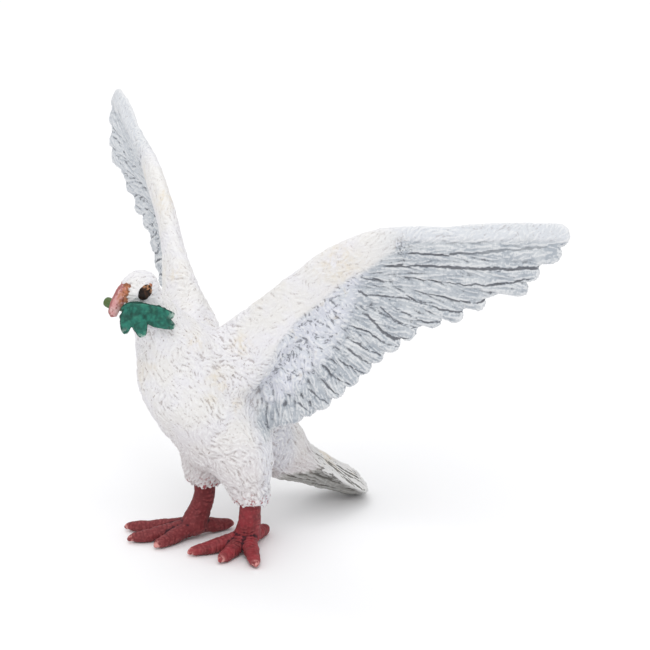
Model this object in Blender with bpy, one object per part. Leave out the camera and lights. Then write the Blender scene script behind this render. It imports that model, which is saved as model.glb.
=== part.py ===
"""Small dove figurine: a dove that stands with raised wings and holds an
olive sprig across its beak.

The bird faces -Y, its left is +X and up is +Z, with the floor at z = 0.
The carving is worked out in shares of the height of the body, in design units.
The wings, the tail and the feather edges take their own sizes from the named
values. At the end all is brought to metres and centred on the origin.
"""
import math

import bpy
import bmesh
import numpy as np

# driving sizes, in metres
CROWN_HEIGHT = 0.0492
WING_SPAN = 0.1112
WING_TOP = 0.0610
TAIL_REACH = 0.0330
FEATHER_THICKNESS = 0.00115
COVERT_THICKNESS = 0.0010
WEB_THICKNESS = 0.00080
LEAF_THICKNESS = 0.00084
SHANK_WIDTH = 0.0034
TOE_WIDTH = 0.0024

# design units: the crown of the head is 49.2 of them above the floor
UNIT = CROWN_HEIGHT / 49.2
SPAN_SHARE = WING_SPAN / UNIT / 111.2
WRIST_LEVEL = 30.0
RISE_SHARE = (WING_TOP / UNIT - WRIST_LEVEL) / (61.0 - WRIST_LEVEL)
TAIL_START = 12.0
TAIL_SHARE = (TAIL_REACH / UNIT - TAIL_START) / (33.0 - TAIL_START)
TOE_SHARE = TOE_WIDTH / UNIT / 2.4

# degrees
WING_AZIMUTH = 25.3
WING_TILT = 7.0
HEAD_YAW = 22.0

SOLE_LEVEL = 0.0
VOXEL_DOVE = 0.00030
VOXEL_SPRIG = 0.00016
TRIANGLES_DOVE = 8700
TRIANGLES_SPRIG = 760


def smooth_rows(keys, count):
    """Rows of numbers through the key rows, by a Catmull-Rom curve."""
    keys = np.asarray(keys, float)
    last = len(keys) - 1
    rows = []
    for step in range(count):
        place = step * last / (count - 1)
        i = min(int(place), last - 1)
        t = place - i
        before = keys[max(i - 1, 0)]
        after = keys[min(i + 2, last)]
        here = keys[i]
        there = keys[i + 1]
        slope_a = (there - before) / (2.0 if i > 0 else 1.0)
        slope_b = (after - here) / (2.0 if i + 2 <= last else 1.0)
        a = 2 * t ** 3 - 3 * t ** 2 + 1
        b = t ** 3 - 2 * t ** 2 + t
        c = -2 * t ** 3 + 3 * t ** 2
        d = t ** 3 - t ** 2
        rows.append(a * here + b * slope_a + c * there + d * slope_b)
    return np.array(rows)


def unit(v):
    v = np.asarray(v, float)
    return v / max(np.linalg.norm(v), 1e-9)


class Clay:
    """Closed shapes collected into one mesh."""

    def __init__(self):
        self.points = []
        self.faces = []

    def add_rings(self, rings):
        start = len(self.points)
        sides = len(rings[0])
        for ring in rings:
            self.points.extend(ring)
        for r in range(len(rings) - 1):
            for s in range(sides):
                a = start + r * sides + s
                b = start + r * sides + (s + 1) % sides
                self.faces.append((a, b, b + sides, a + sides))
        first = len(self.points)
        self.points.append(np.mean(rings[0], axis=0))
        self.points.append(np.mean(rings[-1], axis=0))
        tail = start + (len(rings) - 1) * sides
        for s in range(sides):
            n = (s + 1) % sides
            self.faces.append((start + n, start + s, first))
            self.faces.append((tail + s, tail + n, first + 1))

    def tube(self, centres, across, halves, sides=14, power=1.0):
        """Loft through centres; across is the direction of the first half."""
        centres = np.asarray(centres, float)
        halves = np.asarray(halves, float)
        tangents = np.gradient(centres, axis=0)
        rings = []
        for i, centre in enumerate(centres):
            t = unit(tangents[i])
            hint = across[i] if np.ndim(across) == 2 else across
            u = unit(np.asarray(hint, float) - np.dot(hint, t) * t)
            v = np.cross(t, u)
            ring = []
            for k in range(sides):
                angle = 2 * math.pi * k / sides
                c = math.cos(angle)
                s = math.sin(angle)
                cu = math.copysign(abs(c) ** power, c) * halves[i][0]
                sv = math.copysign(abs(s) ** power, s) * halves[i][1]
                ring.append(centre + u * cu + v * sv)
            rings.append(ring)
        self.add_rings(rings)

    def stack(self, centres, halves, sides=24):
        """Level oval rings, one above another."""
        rings = []
        for centre, half in zip(centres, halves):
            ring = []
            for k in range(sides):
                angle = 2 * math.pi * k / sides
                ring.append(np.array([centre[0] + half[0] * math.cos(angle),
                                      centre[1] + half[1] * math.sin(angle), centre[2]]))
            rings.append(ring)
        self.add_rings(rings)

    def ball(self, centre, axes, halves, sides=14):
        """Ellipsoid with its three axes given as rows."""
        axes = np.asarray(axes, float)
        steps = np.linspace(-1, 1, 11)
        angles = steps * math.pi / 2 * 0.97
        centres = []
        sizes = []
        for a in angles:
            centres.append(np.asarray(centre) + axes[0] * halves[0] * math.sin(a))
            sizes.append((halves[1] * math.cos(a), halves[2] * math.cos(a)))
        self.tube(centres, axes[1], sizes, sides)


# front of the body: y, z, half width, half depth, x
BREAST = [
    (-12.8, 46.4, 2.2, 2.2, -0.1),
    (-11.6, 43.6, 3.2, 3.2, 0.0),
    (-9.6, 40.3, 4.3, 4.9, 0.0),
    (-6.5, 36.8, 6.4, 6.5, 0.0),
    (-4.6, 33.0, 7.8, 7.8, 0.0),
    (-3.4, 29.0, 8.3, 8.9, 0.0),
    (-2.2, 25.5, 8.5, 9.2, 0.4),
    (-0.5, 21.3, 8.4, 8.6, 1.1),
    (0.8, 18.2, 7.9, 7.9, 1.9),
    (1.3, 15.5, 6.9, 6.8, 2.6),
    (1.5, 13.6, 5.4, 4.4, 3.1),
    (1.5, 12.4, 3.0, 2.5, 3.2),
]
# back and rump, in the same columns
RUMP = [
    (-2.0, 37.0, 2.4, 2.2, 0.0),
    (-1.4, 33.0, 5.0, 4.6, 0.0),
    (1.2, 28.0, 6.8, 6.4, 0.2),
    (5.0, 22.5, 7.2, 7.0, 0.5),
    (9.8, 17.6, 6.2, 6.0, 0.8),
    (14.6, 13.2, 4.8, 4.6, 0.9),
    (18.5, 10.2, 3.2, 3.0, 0.9),
]
# pad that leads the breast into the front of each wing: p, q, n, half sizes
PAD = [
    (-1.5, 24.0, -1.0, 2.0, 2.0),
    (0.5, 27.0, -2.6, 4.2, 3.4),
    (3.4, 30.4, -3.8, 5.4, 4.0),
    (7.2, 34.0, -2.6, 5.6, 3.6),
    (11.4, 38.4, -1.0, 4.8, 2.7),
    (15.8, 43.6, -0.2, 3.7, 1.95),
    (20.6, 48.4, 0.0, 3.0, 1.5),
    (26.0, 52.2, 0.1, 2.3, 1.2),
    (32.0, 54.8, 0.2, 1.6, 0.9),
]


def add_body(clay):
    rows = smooth_rows(BREAST, 44)
    clay.stack(np.stack([rows[:, 4], rows[:, 0], rows[:, 1]], axis=1), rows[:, 2:4], 30)
    rows = smooth_rows(RUMP, 30)
    clay.tube(np.stack([rows[:, 4], rows[:, 0], rows[:, 1]], axis=1), (1, 0, 0), rows[:, 2:4], 24)
    for side in (1, -1):
        rows = smooth_rows(PAD, 24)
        centres = np.array([wing_point(side, *row[:3]) for row in rows])
        across = np.array([wing_point(side, row[0] - 1.0, row[1] + 1.0, row[2]) for row in rows]) - centres
        clay.tube(centres, across, rows[:, 3:5], 16)


HEAD = np.array([-0.1, -13.5, 45.95])


def head_axes():
    a = math.radians(HEAD_YAW)
    forward = np.array([-math.sin(a), -math.cos(a), 0.0])
    left = np.array([math.cos(a), -math.sin(a), 0.0])
    return forward, left, np.array([0.0, 0.0, 1.0])


def in_head(f, l, u):
    forward, left, up = head_axes()
    return HEAD + forward * f + left * l + up * u


# round forms of the head: forward, up, nod, half length, half width, half height
SKULL = [
    (0.0, 0.0, 0.0, 3.1, 2.8, 3.3),
    (1.0, -0.35, -0.30, 2.7, 2.2, 2.5),
    (-0.4, -1.9, 1.0, 2.9, 2.9, 2.6),
]
# eye: forward, outward, up, then its half sizes
EYE = (0.1, 2.62, 0.45)
EYE_HALF = (0.46, 1.15, 0.95)


def add_head(clay):
    forward, left, up = head_axes()
    for ahead, high, nod, *halves in SKULL:
        clay.ball(in_head(ahead, 0, high), (unit(forward + up * nod), left, up), halves, 18)
    for side in (1, -1):
        spot = in_head(EYE[0], EYE[1] * side, EYE[2])
        out = unit(left * side + forward * 0.15)
        clay.ball(spot, (out, up, np.cross(out, up)), EYE_HALF, 12)


# beak halves in the middle plane of the head: forward, up, half width, half depth
BEAK_UPPER = [
    (1.4, 0.5, 1.1, 0.9),
    (2.6, 0.35, 1.1, 0.95),
    (3.35, -0.85, 1.0, 0.95),
    (4.15, -2.1, 0.88, 0.78),
    (4.5, -3.1, 0.76, 0.66),
    (4.5, -3.85, 0.42, 0.42),
]
BEAK_LOWER = [
    (0.6, -1.9, 1.2, 0.9),
    (1.2, -2.9, 1.0, 0.62),
    (1.75, -3.6, 0.8, 0.46),
    (2.35, -4.15, 0.45, 0.3),
]


def add_beak(clay):
    """Open beak: its halves run down and forward, one each side of the stem."""
    left = head_axes()[1]
    for keys in (BEAK_UPPER, BEAK_LOWER):
        rows = smooth_rows(keys, 14)
        centres = [in_head(f, 0, u) for f, u in rows[:, :2]]
        clay.tube(centres, left, rows[:, 2:4], 12)


def wing_point(side, p, q, n=0.0):
    """Point of a wing: p runs outward along it, q up, n behind its face."""
    a = math.radians(WING_AZIMUTH)
    lift = n + camber(p, q)
    reach = p * SPAN_SHARE
    x = reach * math.cos(a) - lift * math.sin(a)
    y = reach * math.sin(a) + lift * math.cos(a)
    rise = q if q < WRIST_LEVEL else WRIST_LEVEL + (q - WRIST_LEVEL) * RISE_SHARE
    return np.array([x * side, y, rise])


def ease(t):
    t = min(1.0, max(0.0, t))
    return t * t * (3.0 - 2.0 * t)


# wing core: leading edge p, q; trailing edge p, q; thickness
WING = [
    (-1.0, 33.2, 5.0, 20.0, 4.0),
    (4.0, 36.4, 11.6, 21.6, 4.0),
    (9.2, 40.6, 17.4, 24.2, 3.8),
    (14.0, 45.4, 22.5, 28.1, 3.6),
    (17.0, 49.4, 26.7, 32.1, 3.4),
    (21.1, 52.8, 31.0, 36.5, 3.1),
    (25.6, 55.4, 35.1, 40.1, 2.8),
    (30.6, 57.5, 39.7, 43.2, 2.5),
    (36.5, 58.4, 44.5, 45.6, 2.2),
    (43.5, 58.9, 49.7, 48.8, 1.9),
    (50.0, 59.6, 54.9, 52.0, 1.6),
    (56.2, 60.4, 57.8, 55.6, 1.2),
]


def camber(p, q):
    """How far the wing stands behind its plane; the outer tips curl forward."""
    rows = np.array(WING)
    drop = np.interp(p, rows[:, 0], rows[:, 1]) + 0.2 - q
    root = 1.6 * math.exp(-((p - 3.0) / 7.0) ** 2)
    arm = -1.2 * ease((p - 6.0) / 10.0) + 1.3 * ease((p - 34.0) / 22.0)
    arm *= 1.0 - ease((drop - 3.0) / 9.0)
    return root + arm - 2.0 * ease((p - 36.0) / 20.0) * min(1.0, max(0.0, drop / 8.0))


def section(share):
    """Thickness share of the wing at a share of its chord."""
    front = math.sqrt(max(0.0, 1.0 - (1.0 - min(share / 0.16, 1.0)) ** 2))
    fade = max(0.0, min((share - 0.16) / 0.45, 1.0))
    fade = fade * fade * (3 - 2 * fade)
    return front * (1.0 - 0.74 * fade) * (1.0 if share < 0.96 else 0.6)


def add_wing_core(clay, side):
    rows = smooth_rows(WING, 34)
    rings = []
    shares = [0.0, 0.02, 0.06, 0.12, 0.2, 0.3, 0.42, 0.56, 0.72, 0.88, 0.98, 1.0]
    for row in rows:
        lead = row[:2]
        trail = row[2:4]
        ring = []
        deep = [0.5 * max(row[4] * section(s), WEB_THICKNESS / UNIT * ease(s / 0.3)) for s in shares]
        for share, high in zip(shares, deep):
            at = lead + (trail - lead) * share
            ring.append(wing_point(side, at[0], at[1], high))
        for share, high in zip(shares[-2:0:-1], deep[-2:0:-1]):
            at = lead + (trail - lead) * share
            ring.append(wing_point(side, at[0], at[1], -high))
        if side < 0:
            ring = ring[::-1]
        rings.append(ring)
    clay.add_rings(rings)


# flight feathers: number, tip p, tip q, base p, base q, half width, bow
FLIGHT = [
    (1, 61.4, 59.6, 33.5, 55.6, 2.0, 0.35),
    (2, 60.3, 56.8, 30.5, 54.0, 2.05, 0.8),
    (3, 57.1, 53.6, 28.4, 52.0, 1.95, 0.8),
    (4, 55.4, 50.9, 27.3, 50.1, 1.9, 0.9),
    (5, 48.2, 47.4, 26.2, 48.4, 2.0, 0.9),
    (6, 44.3, 44.7, 25.5, 46.9, 2.05, 0.8),
    (7, 40.5, 43.1, 25.1, 45.2, 2.1, 0.7),
    (8, 36.1, 40.2, 24.4, 43.2, 2.1, 0.6),
    (10, 30.5, 35.4, 22.6, 39.4, 2.1, 0.5),
    (12, 25.9, 30.4, 20.6, 35.6, 2.1, 0.4),
    (14, 20.4, 25.4, 17.6, 32.2, 2.1, 0.3),
    (16, 15.0, 22.3, 14.6, 28.6, 2.0, 0.2),
    (18, 10.8, 20.6, 10.8, 26.4, 1.9, 0.1),
]
FLIGHT_COUNT = 18
# where the smooth arm ends and the covert feathers begin: p, q
COVERT_LINE = [
    (7.2, 27.6),
    (14.0, 36.6),
    (16.9, 40.6),
    (21.0, 44.3),
    (25.2, 48.4),
    (28.8, 50.6),
    (34.1, 55.1),
]


def flight_feather(number):
    """Tip, base, half width and bow of one flight feather, as on its row."""
    rows = np.array(FLIGHT, float)
    return np.array([np.interp(number, rows[:, 0], rows[:, c]) for c in range(1, 7)])


def add_blade(clay, side, tip, base, half, bow, height, tilt, thick, rings=11):
    """One feather: a thin lens of a section along a bowed line, round tipped."""
    tip = np.asarray(tip, float)
    base = np.asarray(base, float)
    along = unit(tip - base)
    normal_2d = np.array([-along[1], along[0]])
    centres = []
    acrosses = []
    halves = []
    c = math.cos(math.radians(tilt))
    s = math.sin(math.radians(tilt))
    for k in range(rings):
        t = 1.0 - (1.0 - k / (rings - 1)) ** 1.6
        at = base + (tip - base) * t + normal_2d * bow * 4 * t * (1 - t)
        width = half * (0.7 + 0.3 * math.sin(math.pi * min(1.0, t * 0.75)))
        length = max(np.linalg.norm(tip - base), 1.0)
        shoulder = 1.0 - 1.15 * half / length
        end = max(0.0, (t - shoulder) / (1.0 - shoulder))
        width *= math.sqrt(max(0.0, 1.0 - end ** 2.4 * 0.985))
        begin = max(0.0, (0.08 - t) / 0.08)
        width *= 1.0 - 0.5 * begin
        here = wing_point(side, at[0], at[1], height)
        edge = at + normal_2d
        there = wing_point(side, edge[0], edge[1], height)
        back = wing_point(side, at[0], at[1], height + 1.0)
        acrosses.append(unit(there - here) * c + unit(back - here) * s)
        centres.append(here)
        halves.append((width, thick * (0.5 if end < 0.9 else 0.36)))
    clay.tube(centres, np.array(acrosses), halves, 10, 0.8)


def add_feathers(clay, side):
    for number in range(1, FLIGHT_COUNT + 1):
        tp, tq, bp, bq, half, bow = flight_feather(number)
        add_blade(clay, side, (tp, tq), (bp, bq), half, bow, 0.0, WING_TILT, FEATHER_THICKNESS / UNIT)
    # coverts in two rows on each face, over the roots of the flight feathers
    for face in (-1, 1):
        for row, (start, reach, lift, wide) in enumerate(((0.02, 0.46, 0.50, 1.3), (-0.16, 0.22, 0.95, 1.25))):
            for k in range(15):
                number = 2.5 + k
                tp, tq, bp, bq, half, bow = flight_feather(number)
                base = np.array([bp, bq])
                tip = np.array([tp, tq])
                length = min(np.linalg.norm(tip - base), 15.0)
                along = unit(tip - base)
                a = base + along * length * start
                b = base + along * length * (reach if row else reach + 0.03 * math.sin(k * 2.1))
                add_blade(clay, side, b, a, wide, bow * 0.3, face * lift, WING_TILT * 0.8, COVERT_THICKNESS / UNIT, 8)


# tail: y of centre, z of ridge, z of side edges, z of the underside, half width
TAIL = [
    (12.0, 18.6, 14.4, 7.6, 4.4),
    (16.0, 15.4, 11.6, 6.2, 4.6),
    (20.0, 11.8, 8.8, 4.5, 4.5),
    (24.0, 8.7, 6.0, 2.8, 4.4),
    (28.0, 5.9, 3.4, 1.0, 4.3),
    (31.0, 3.9, 1.8, 0.2, 3.6),
    (32.9, 2.6, 1.2, 0.0, 1.6),
]


def tail_place(y):
    return y if y < TAIL_START else TAIL_START + (y - TAIL_START) * TAIL_SHARE


def add_tail(clay):
    rings = []
    for y, top, edge, low, half in smooth_rows(TAIL, 18):
        ring = []
        for k in range(16):
            angle = 2 * math.pi * k / 16
            c = math.cos(angle)
            s = math.sin(angle)
            wide = half * math.copysign(abs(c) ** 0.9, c)
            if s >= 0:
                z = edge + (top - edge) * s ** 1.1
            else:
                z = edge - (edge - low) * abs(s) ** 0.9
                wide *= 0.8
            ring.append(np.array([0.9 + wide, tail_place(y) - 0.25 * (z - edge) * 0.6, z]))
        rings.append(ring[::-1])
    clay.add_rings(rings)
    # tail feathers laid over the ridge, the middle ones on top
    for k in range(-3, 4):
        share = k / 3.0
        spread = 3.9 * share
        drop = 2.7 * abs(share) ** 1.4
        rows = smooth_rows([
            (0.9 + spread * 0.8, 14.5, 16.6 - drop),
            (0.9 + spread * 0.95, 19.5, 12.3 - drop),
            (0.9 + spread * 1.05, 25.0, 8.1 - drop),
            (0.9 + spread * 1.0, 32.6 - 1.6 * abs(share), 3.0 - 0.45 * drop),
        ], 12)
        halves = []
        for i in range(12):
            t = i / 11
            end = max(0.0, (t - 0.82) / 0.18)
            halves.append((1.25 * math.sqrt(max(0.03, 1 - end ** 2.2)), 0.55 - 0.12 * end))
        rows[:, 1] = [tail_place(y) for y in rows[:, 1]]
        lean = math.radians(-38.0 * share)
        clay.tube(rows, (math.cos(lean), 0, math.sin(lean)), halves, 10, 0.85)


# legs: tarsus top, foot centre, then the toe tips, x and y on the floor
LEGS = (
    dict(top=(8.9, 1.4), base=(7.3, 1.9),
         toes=((3.8, -7.6), (9.8, -6.1), (15.2, -3.0)), hind=(4.3, 8.9)),
    dict(top=(-1.9, 0.7), base=(-2.2, -1.5),
         toes=((-11.8, -8.1), (-7.25, -11.2), (-2.1, -9.8)), hind=(-1.0, 6.0)),
)
THIGHS = (
    ((6.6, 0.6, 20.5), (7.9, 1.0, 14.6), (8.9, 1.4, 8.9), 1.12),
    ((-3.0, 0.6, 19.5), (-2.5, 0.7, 13.8), (-1.8, 1.0, 9.3), 0.84),
)


# feathered thigh from its top down: share of the way, rise, half width, half depth, grows with the thigh
THIGH = [
    (0.0, 2.0, 3.0, 4.0, 0),
    (0.0, 0.0, 3.8, 5.0, 1),
    (1.0, 0.0, 3.9, 4.4, 1),
    (1.6, 0.0, 3.3, 3.4, 0),
    (2.0, 0.8, 2.95, 3.0, 0),
    (2.0, 0.0, 2.6, 2.7, 0),
]
# knobs of a toe: share of its length, size, rise of the knuckle
KNUCKLES = [
    (0.0, 1.6, 0.3),
    (0.16, 1.52, 0.45),
    (0.34, 1.34, 0.35),
    (0.5, 1.3, 0.3),
    (0.66, 1.14, 0.22),
    (0.8, 1.04, 0.16),
    (0.92, 0.78, 0.04),
    (1.0, 0.36, -0.15),
]


def add_leg(clay, leg, thigh):
    top, middle, low = [np.array(p, float) for p in thigh[:3]]
    big = thigh[3]
    keys = []
    for share, rise, wide, deep, grows in THIGH:
        at = top + (middle - top) * share if share <= 1.0 else middle + (low - middle) * (share - 1.0)
        size = big if grows else 1.0
        keys.append((*(at + (0, 0, rise)), wide * size, deep * size))
    rows = smooth_rows(keys, 18)
    clay.tube(rows[:, :3], (1, 0, 0), rows[:, 3:5], 18)
    # ragged hem of small tufts round the shank
    for k in range(11):
        angle = 2 * math.pi * k / 11 + 0.3
        out = np.array([math.cos(angle), math.sin(angle), 0.0])
        long = 0.7 + 0.35 * math.sin(k * 2.7)
        a = low + out * 2.0 + (0, 0, 1.2)
        b = low + out * 2.55 - (0, 0, long)
        clay.tube([a, (a + b) / 2, b], out, [(0.9, 0.8), (0.75, 0.7), (0.22, 0.25)], 8)
    x, y = leg["top"]
    bx, by = leg["base"]
    shank = SHANK_WIDTH / UNIT / 2.0
    rows = smooth_rows([
        (x, y, 10.5, shank, shank * 1.03),
        (x * 0.9 + bx * 0.1, y, 7.2, shank, shank * 1.05),
        (x * 0.6 + bx * 0.4, y * 0.6 + by * 0.4, 4.8, shank * 1.04, shank * 1.12),
        (x * 0.2 + bx * 0.8, y * 0.2 + by * 0.8, 3.2, shank * 1.2, shank * 1.28),
        (bx, by, 1.9, shank * 1.36, shank * 1.42),
        (bx, by, 0.9, shank * 1.22, shank * 1.26),
        (bx, by, -0.3, shank * 0.95, shank * 0.95),
    ], 18)
    clay.tube(rows[:, :3], (1, 0, 0), rows[:, 3:5], 14)
    for number, toe in enumerate(leg["toes"] + (leg["hind"],)):
        end = np.array([toe[0], toe[1], 0.7])
        root = np.array([bx, by, 1.95])
        flat = unit((end - root) * (1, 1, 0))
        knob = []
        for t, size, high in KNUCKLES:
            at = root + (end - root) * t
            at[2] = root[2] + (0.95 - root[2]) * min(1.0, t * 1.4) + high * 0.4
            knob.append((*at, size * TOE_SHARE, size * 0.92 * TOE_SHARE))
        rows = smooth_rows(knob, 20)
        across = np.cross((0, 0, 1), flat)
        clay.tube(rows[:, :3], across, rows[:, 3:5], 12)


def add_leaf(clay, base, tip, side_on, out, half, thick):
    """One leaf: pointed at both ends, a little folded along its rib."""
    base = np.asarray(base, float)
    tip = np.asarray(tip, float)
    rows = 12
    centres = []
    halves = []
    for k in range(rows):
        t = k / (rows - 1)
        at = base + (tip - base) * t + np.asarray(out) * 0.5 * math.sin(math.pi * t)
        wide = half * (math.sin(math.pi * (0.12 + 0.78 * t)) ** 0.8)
        centres.append(at)
        halves.append((max(wide, 0.28), thick * (1.0 if 0.05 < t < 0.95 else 0.7)))
    clay.tube(centres, side_on, halves, 12, 0.9)


# stem of the sprig: x, y, z and half thickness, from its cut end to the leaves
STEM = [
    (-5.2, -16.45, 43.5, 0.55),
    (-4.9, -16.42, 43.45, 0.82),
    (-3.4, -16.36, 43.3, 0.8),
    (-2.5, -16.3, 43.2, 0.5),
    (-1.2, -16.3, 43.15, 0.45),
    (0.2, -16.7, 43.45, 0.5),
    (1.2, -17.4, 43.9, 0.62),
    (2.2, -17.3, 44.0, 0.7),
]
LEAF_ROOT = np.array([1.6, -17.67, 44.15])
# leaves, from root to tip: run, rise, run, rise, half width, fold outward
LEAVES = [
    (-0.1, 0.3, -0.39, -3.88, 1.05, 0.35),
    (1.2, 0.3, 2.38, -4.6, 1.3, 0.45),
    (1.6, -0.3, 7.43, -3.3, 1.3, 0.2),
    (0.2, 0.5, 7.35, -1.5, 1.25, 0.0),
]


def sprig_clay():
    clay = Clay()
    rows = smooth_rows(STEM, 24)
    clay.tube(rows[:, :3], (0, 0, 1), rows[:, [3, 3]], 12)
    a = math.radians(58.0)
    along = np.array([math.cos(a), math.sin(a), 0.0])
    up = np.array([0.0, 0.0, 1.0])
    out = np.array([math.sin(a), -math.cos(a), 0.0])
    for run_a, rise_a, run_b, rise_b, half, lift in LEAVES:
        root = LEAF_ROOT + along * run_a + up * rise_a
        tip = LEAF_ROOT + along * run_b + up * rise_b + out * lift
        side_on = np.cross(unit(tip - root), out)
        add_leaf(clay, root, tip, side_on, out, half, LEAF_THICKNESS / UNIT / 2.0)
    clay.ball(LEAF_ROOT + along * 1.2 + up * 0.1, (along, up, out), (2.2, 1.15, 0.6), 12)
    return clay


def dove_clay():
    clay = Clay()
    add_body(clay)
    add_head(clay)
    add_beak(clay)
    for side in (1, -1):
        add_wing_core(clay, side)
        add_feathers(clay, side)
    add_tail(clay)
    for leg, thigh in zip(LEGS, THIGHS):
        add_leg(clay, leg, thigh)
    return clay


def clay_object(name, clay):
    mesh = bpy.data.meshes.new(name)
    mesh.from_pydata([tuple(p) for p in clay.points], [], clay.faces)
    mesh.validate()
    shape = bmesh.new()
    shape.from_mesh(mesh)
    bmesh.ops.recalc_face_normals(shape, faces=shape.faces)
    shape.to_mesh(mesh)
    shape.free()
    thing = bpy.data.objects.new(name, mesh)
    bpy.context.scene.collection.objects.link(thing)
    return thing


def evaluated(thing):
    bpy.context.view_layer.update()
    graph = bpy.context.evaluated_depsgraph_get()
    return bpy.data.meshes.new_from_object(thing.evaluated_get(graph))


def fuse(thing, voxel):
    """One closed skin round all the shapes."""
    remesh = thing.modifiers.new("fuse", "REMESH")
    remesh.mode = "VOXEL"
    remesh.voxel_size = voxel
    remesh.adaptivity = 0.0
    mesh = evaluated(thing)
    thing.modifiers.clear()
    thing.data = mesh


def read_points(mesh):
    flat = np.empty(len(mesh.vertices) * 3, np.float32)
    mesh.vertices.foreach_get("co", flat)
    return flat.reshape(-1, 3).astype(float)


def write_points(mesh, points):
    mesh.vertices.foreach_set("co", points.astype(np.float32).ravel())
    mesh.update()


def relax(mesh, weight, times):
    """Smooth the skin without shrinking it, by a weight for each point."""
    edges = np.empty(len(mesh.edges) * 2, np.int64)
    mesh.edges.foreach_get("vertices", edges)
    a = edges[0::2]
    b = edges[1::2]
    points = read_points(mesh)
    count = len(points)
    degree = np.bincount(a, minlength=count) + np.bincount(b, minlength=count)
    degree = np.maximum(degree, 1)[:, None]
    for step in range(times * 2):
        total = np.stack([np.bincount(a, points[b, c], count) + np.bincount(b, points[a, c], count)
                          for c in range(3)], axis=1)
        factor = 0.6 if step % 2 == 0 else -0.58
        points += factor * weight[:, None] * (total / degree - points)
    write_points(mesh, points)


def fill_creases(mesh, weight, times):
    """Round the hollow corners, as wet clay is pushed into them."""
    edges = np.empty(len(mesh.edges) * 2, np.int64)
    mesh.edges.foreach_get("vertices", edges)
    a = edges[0::2]
    b = edges[1::2]
    points = read_points(mesh)
    count = len(points)
    degree = np.bincount(a, minlength=count) + np.bincount(b, minlength=count)
    degree = np.maximum(degree, 1)[:, None]
    flat = np.empty(count * 3, np.float32)
    for step in range(times):
        if step % 10 == 0:
            write_points(mesh, points)
            mesh.vertices.foreach_get("normal", flat)
            normals = flat.reshape(-1, 3).astype(float)
        total = np.stack([np.bincount(a, points[b, c], count) + np.bincount(b, points[a, c], count)
                          for c in range(3)], axis=1)
        move = total / degree - points
        outward = np.einsum("ij,ij->i", move, normals)
        points += (0.9 * weight * (outward > 0))[:, None] * move
    write_points(mesh, points)


def flatten_soles(mesh):
    points = read_points(mesh)
    points[:, 2] = np.maximum(points[:, 2], SOLE_LEVEL)
    points[points[:, 2] < 0.06, 2] = SOLE_LEVEL
    write_points(mesh, points)


def thin(thing, triangles):
    tri = thing.modifiers.new("three_sided", "TRIANGULATE")
    tri.quad_method = "BEAUTY"
    thing.data = evaluated(thing)
    thing.modifiers.clear()
    few = thing.modifiers.new("fewer", "DECIMATE")
    few.decimate_type = "COLLAPSE"
    few.ratio = triangles / len(thing.data.polygons)
    few.use_collapse_triangulate = True
    thing.data = evaluated(thing)
    thing.modifiers.clear()


def to_metres(meshes):
    """Bring all to metres, with the middle of the whole over the origin."""
    every = np.concatenate([read_points(mesh) for mesh in meshes])
    middle = (every.min(axis=0) + every.max(axis=0)) / 2.0
    middle[2] = 0.0
    for mesh in meshes:
        write_points(mesh, (read_points(mesh) - middle) * UNIT)


def paint(thing, name, colour, roughness):
    material = bpy.data.materials.new(name)
    material.use_nodes = True
    shader = material.node_tree.nodes["Principled BSDF"]
    shader.inputs["Base Color"].default_value = (*colour, 1.0)
    shader.inputs["Roughness"].default_value = roughness
    thing.data.materials.clear()
    thing.data.materials.append(material)


def softness(points):
    """How much each point of the skin is smoothed: body and arm, not feathers."""
    a = math.radians(WING_AZIMUTH)
    p = (np.abs(points[:, 0]) * math.cos(a) + points[:, 1] * math.sin(a)) / SPAN_SHARE
    q = np.minimum(points[:, 2], WRIST_LEVEL) + np.maximum(points[:, 2] - WRIST_LEVEL, 0.0) / RISE_SHARE
    rows = np.array(COVERT_LINE)
    arm = q > np.interp(p, rows[:, 0], rows[:, 1]) + 0.6
    arm |= p < rows[0, 0]
    arm &= p < 33.0
    arm &= points[:, 2] > 9.6
    arm &= ~((points[:, 1] > 13.0) & (points[:, 2] < 17.0))
    near = np.linalg.norm(points - in_head(3.2, 0.0, -2.0), axis=1) < 3.0
    for side in (1, -1):
        near |= np.linalg.norm(points - in_head(EYE[0], EYE[1] * side, EYE[2]), axis=1) < 1.3
    arm &= ~near
    return arm


def build():
    for thing in list(bpy.data.objects):
        bpy.data.objects.remove(thing, do_unlink=True)
    dove = clay_object("dove", dove_clay())
    fuse(dove, VOXEL_DOVE / UNIT)
    soft = softness(read_points(dove.data))
    fill_creases(dove.data, soft.astype(float), 90)
    relax(dove.data, np.where(soft, 0.95, 0.0), 25)
    relax(dove.data, np.where(soft, 0.8, 0.4), 4)
    flatten_soles(dove.data)
    thin(dove, TRIANGLES_DOVE)
    flatten_soles(dove.data)
    paint(dove, "painted_white", (0.80, 0.79, 0.76), 0.62)

    sprig = clay_object("olive_sprig", sprig_clay())
    fuse(sprig, VOXEL_SPRIG / UNIT)
    relax(sprig.data, np.full(len(sprig.data.vertices), 0.5), 2)
    thin(sprig, TRIANGLES_SPRIG)
    paint(sprig, "painted_green", (0.01, 0.20, 0.13), 0.5)
    to_metres([dove.data, sprig.data])
    return dove, sprig


if __name__ == "__main__":
    build()
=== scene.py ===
"""Dressed model of the small dove figurine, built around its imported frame.

The plumage, the legs, the beak, the eyes and the sprig are modelled afresh in the
places that the frame gives them, carved finely, and painted with procedural
materials.  The bird faces -Y, its left is +X, up is +Z and the floor is z = 0.
"""
import math

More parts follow.
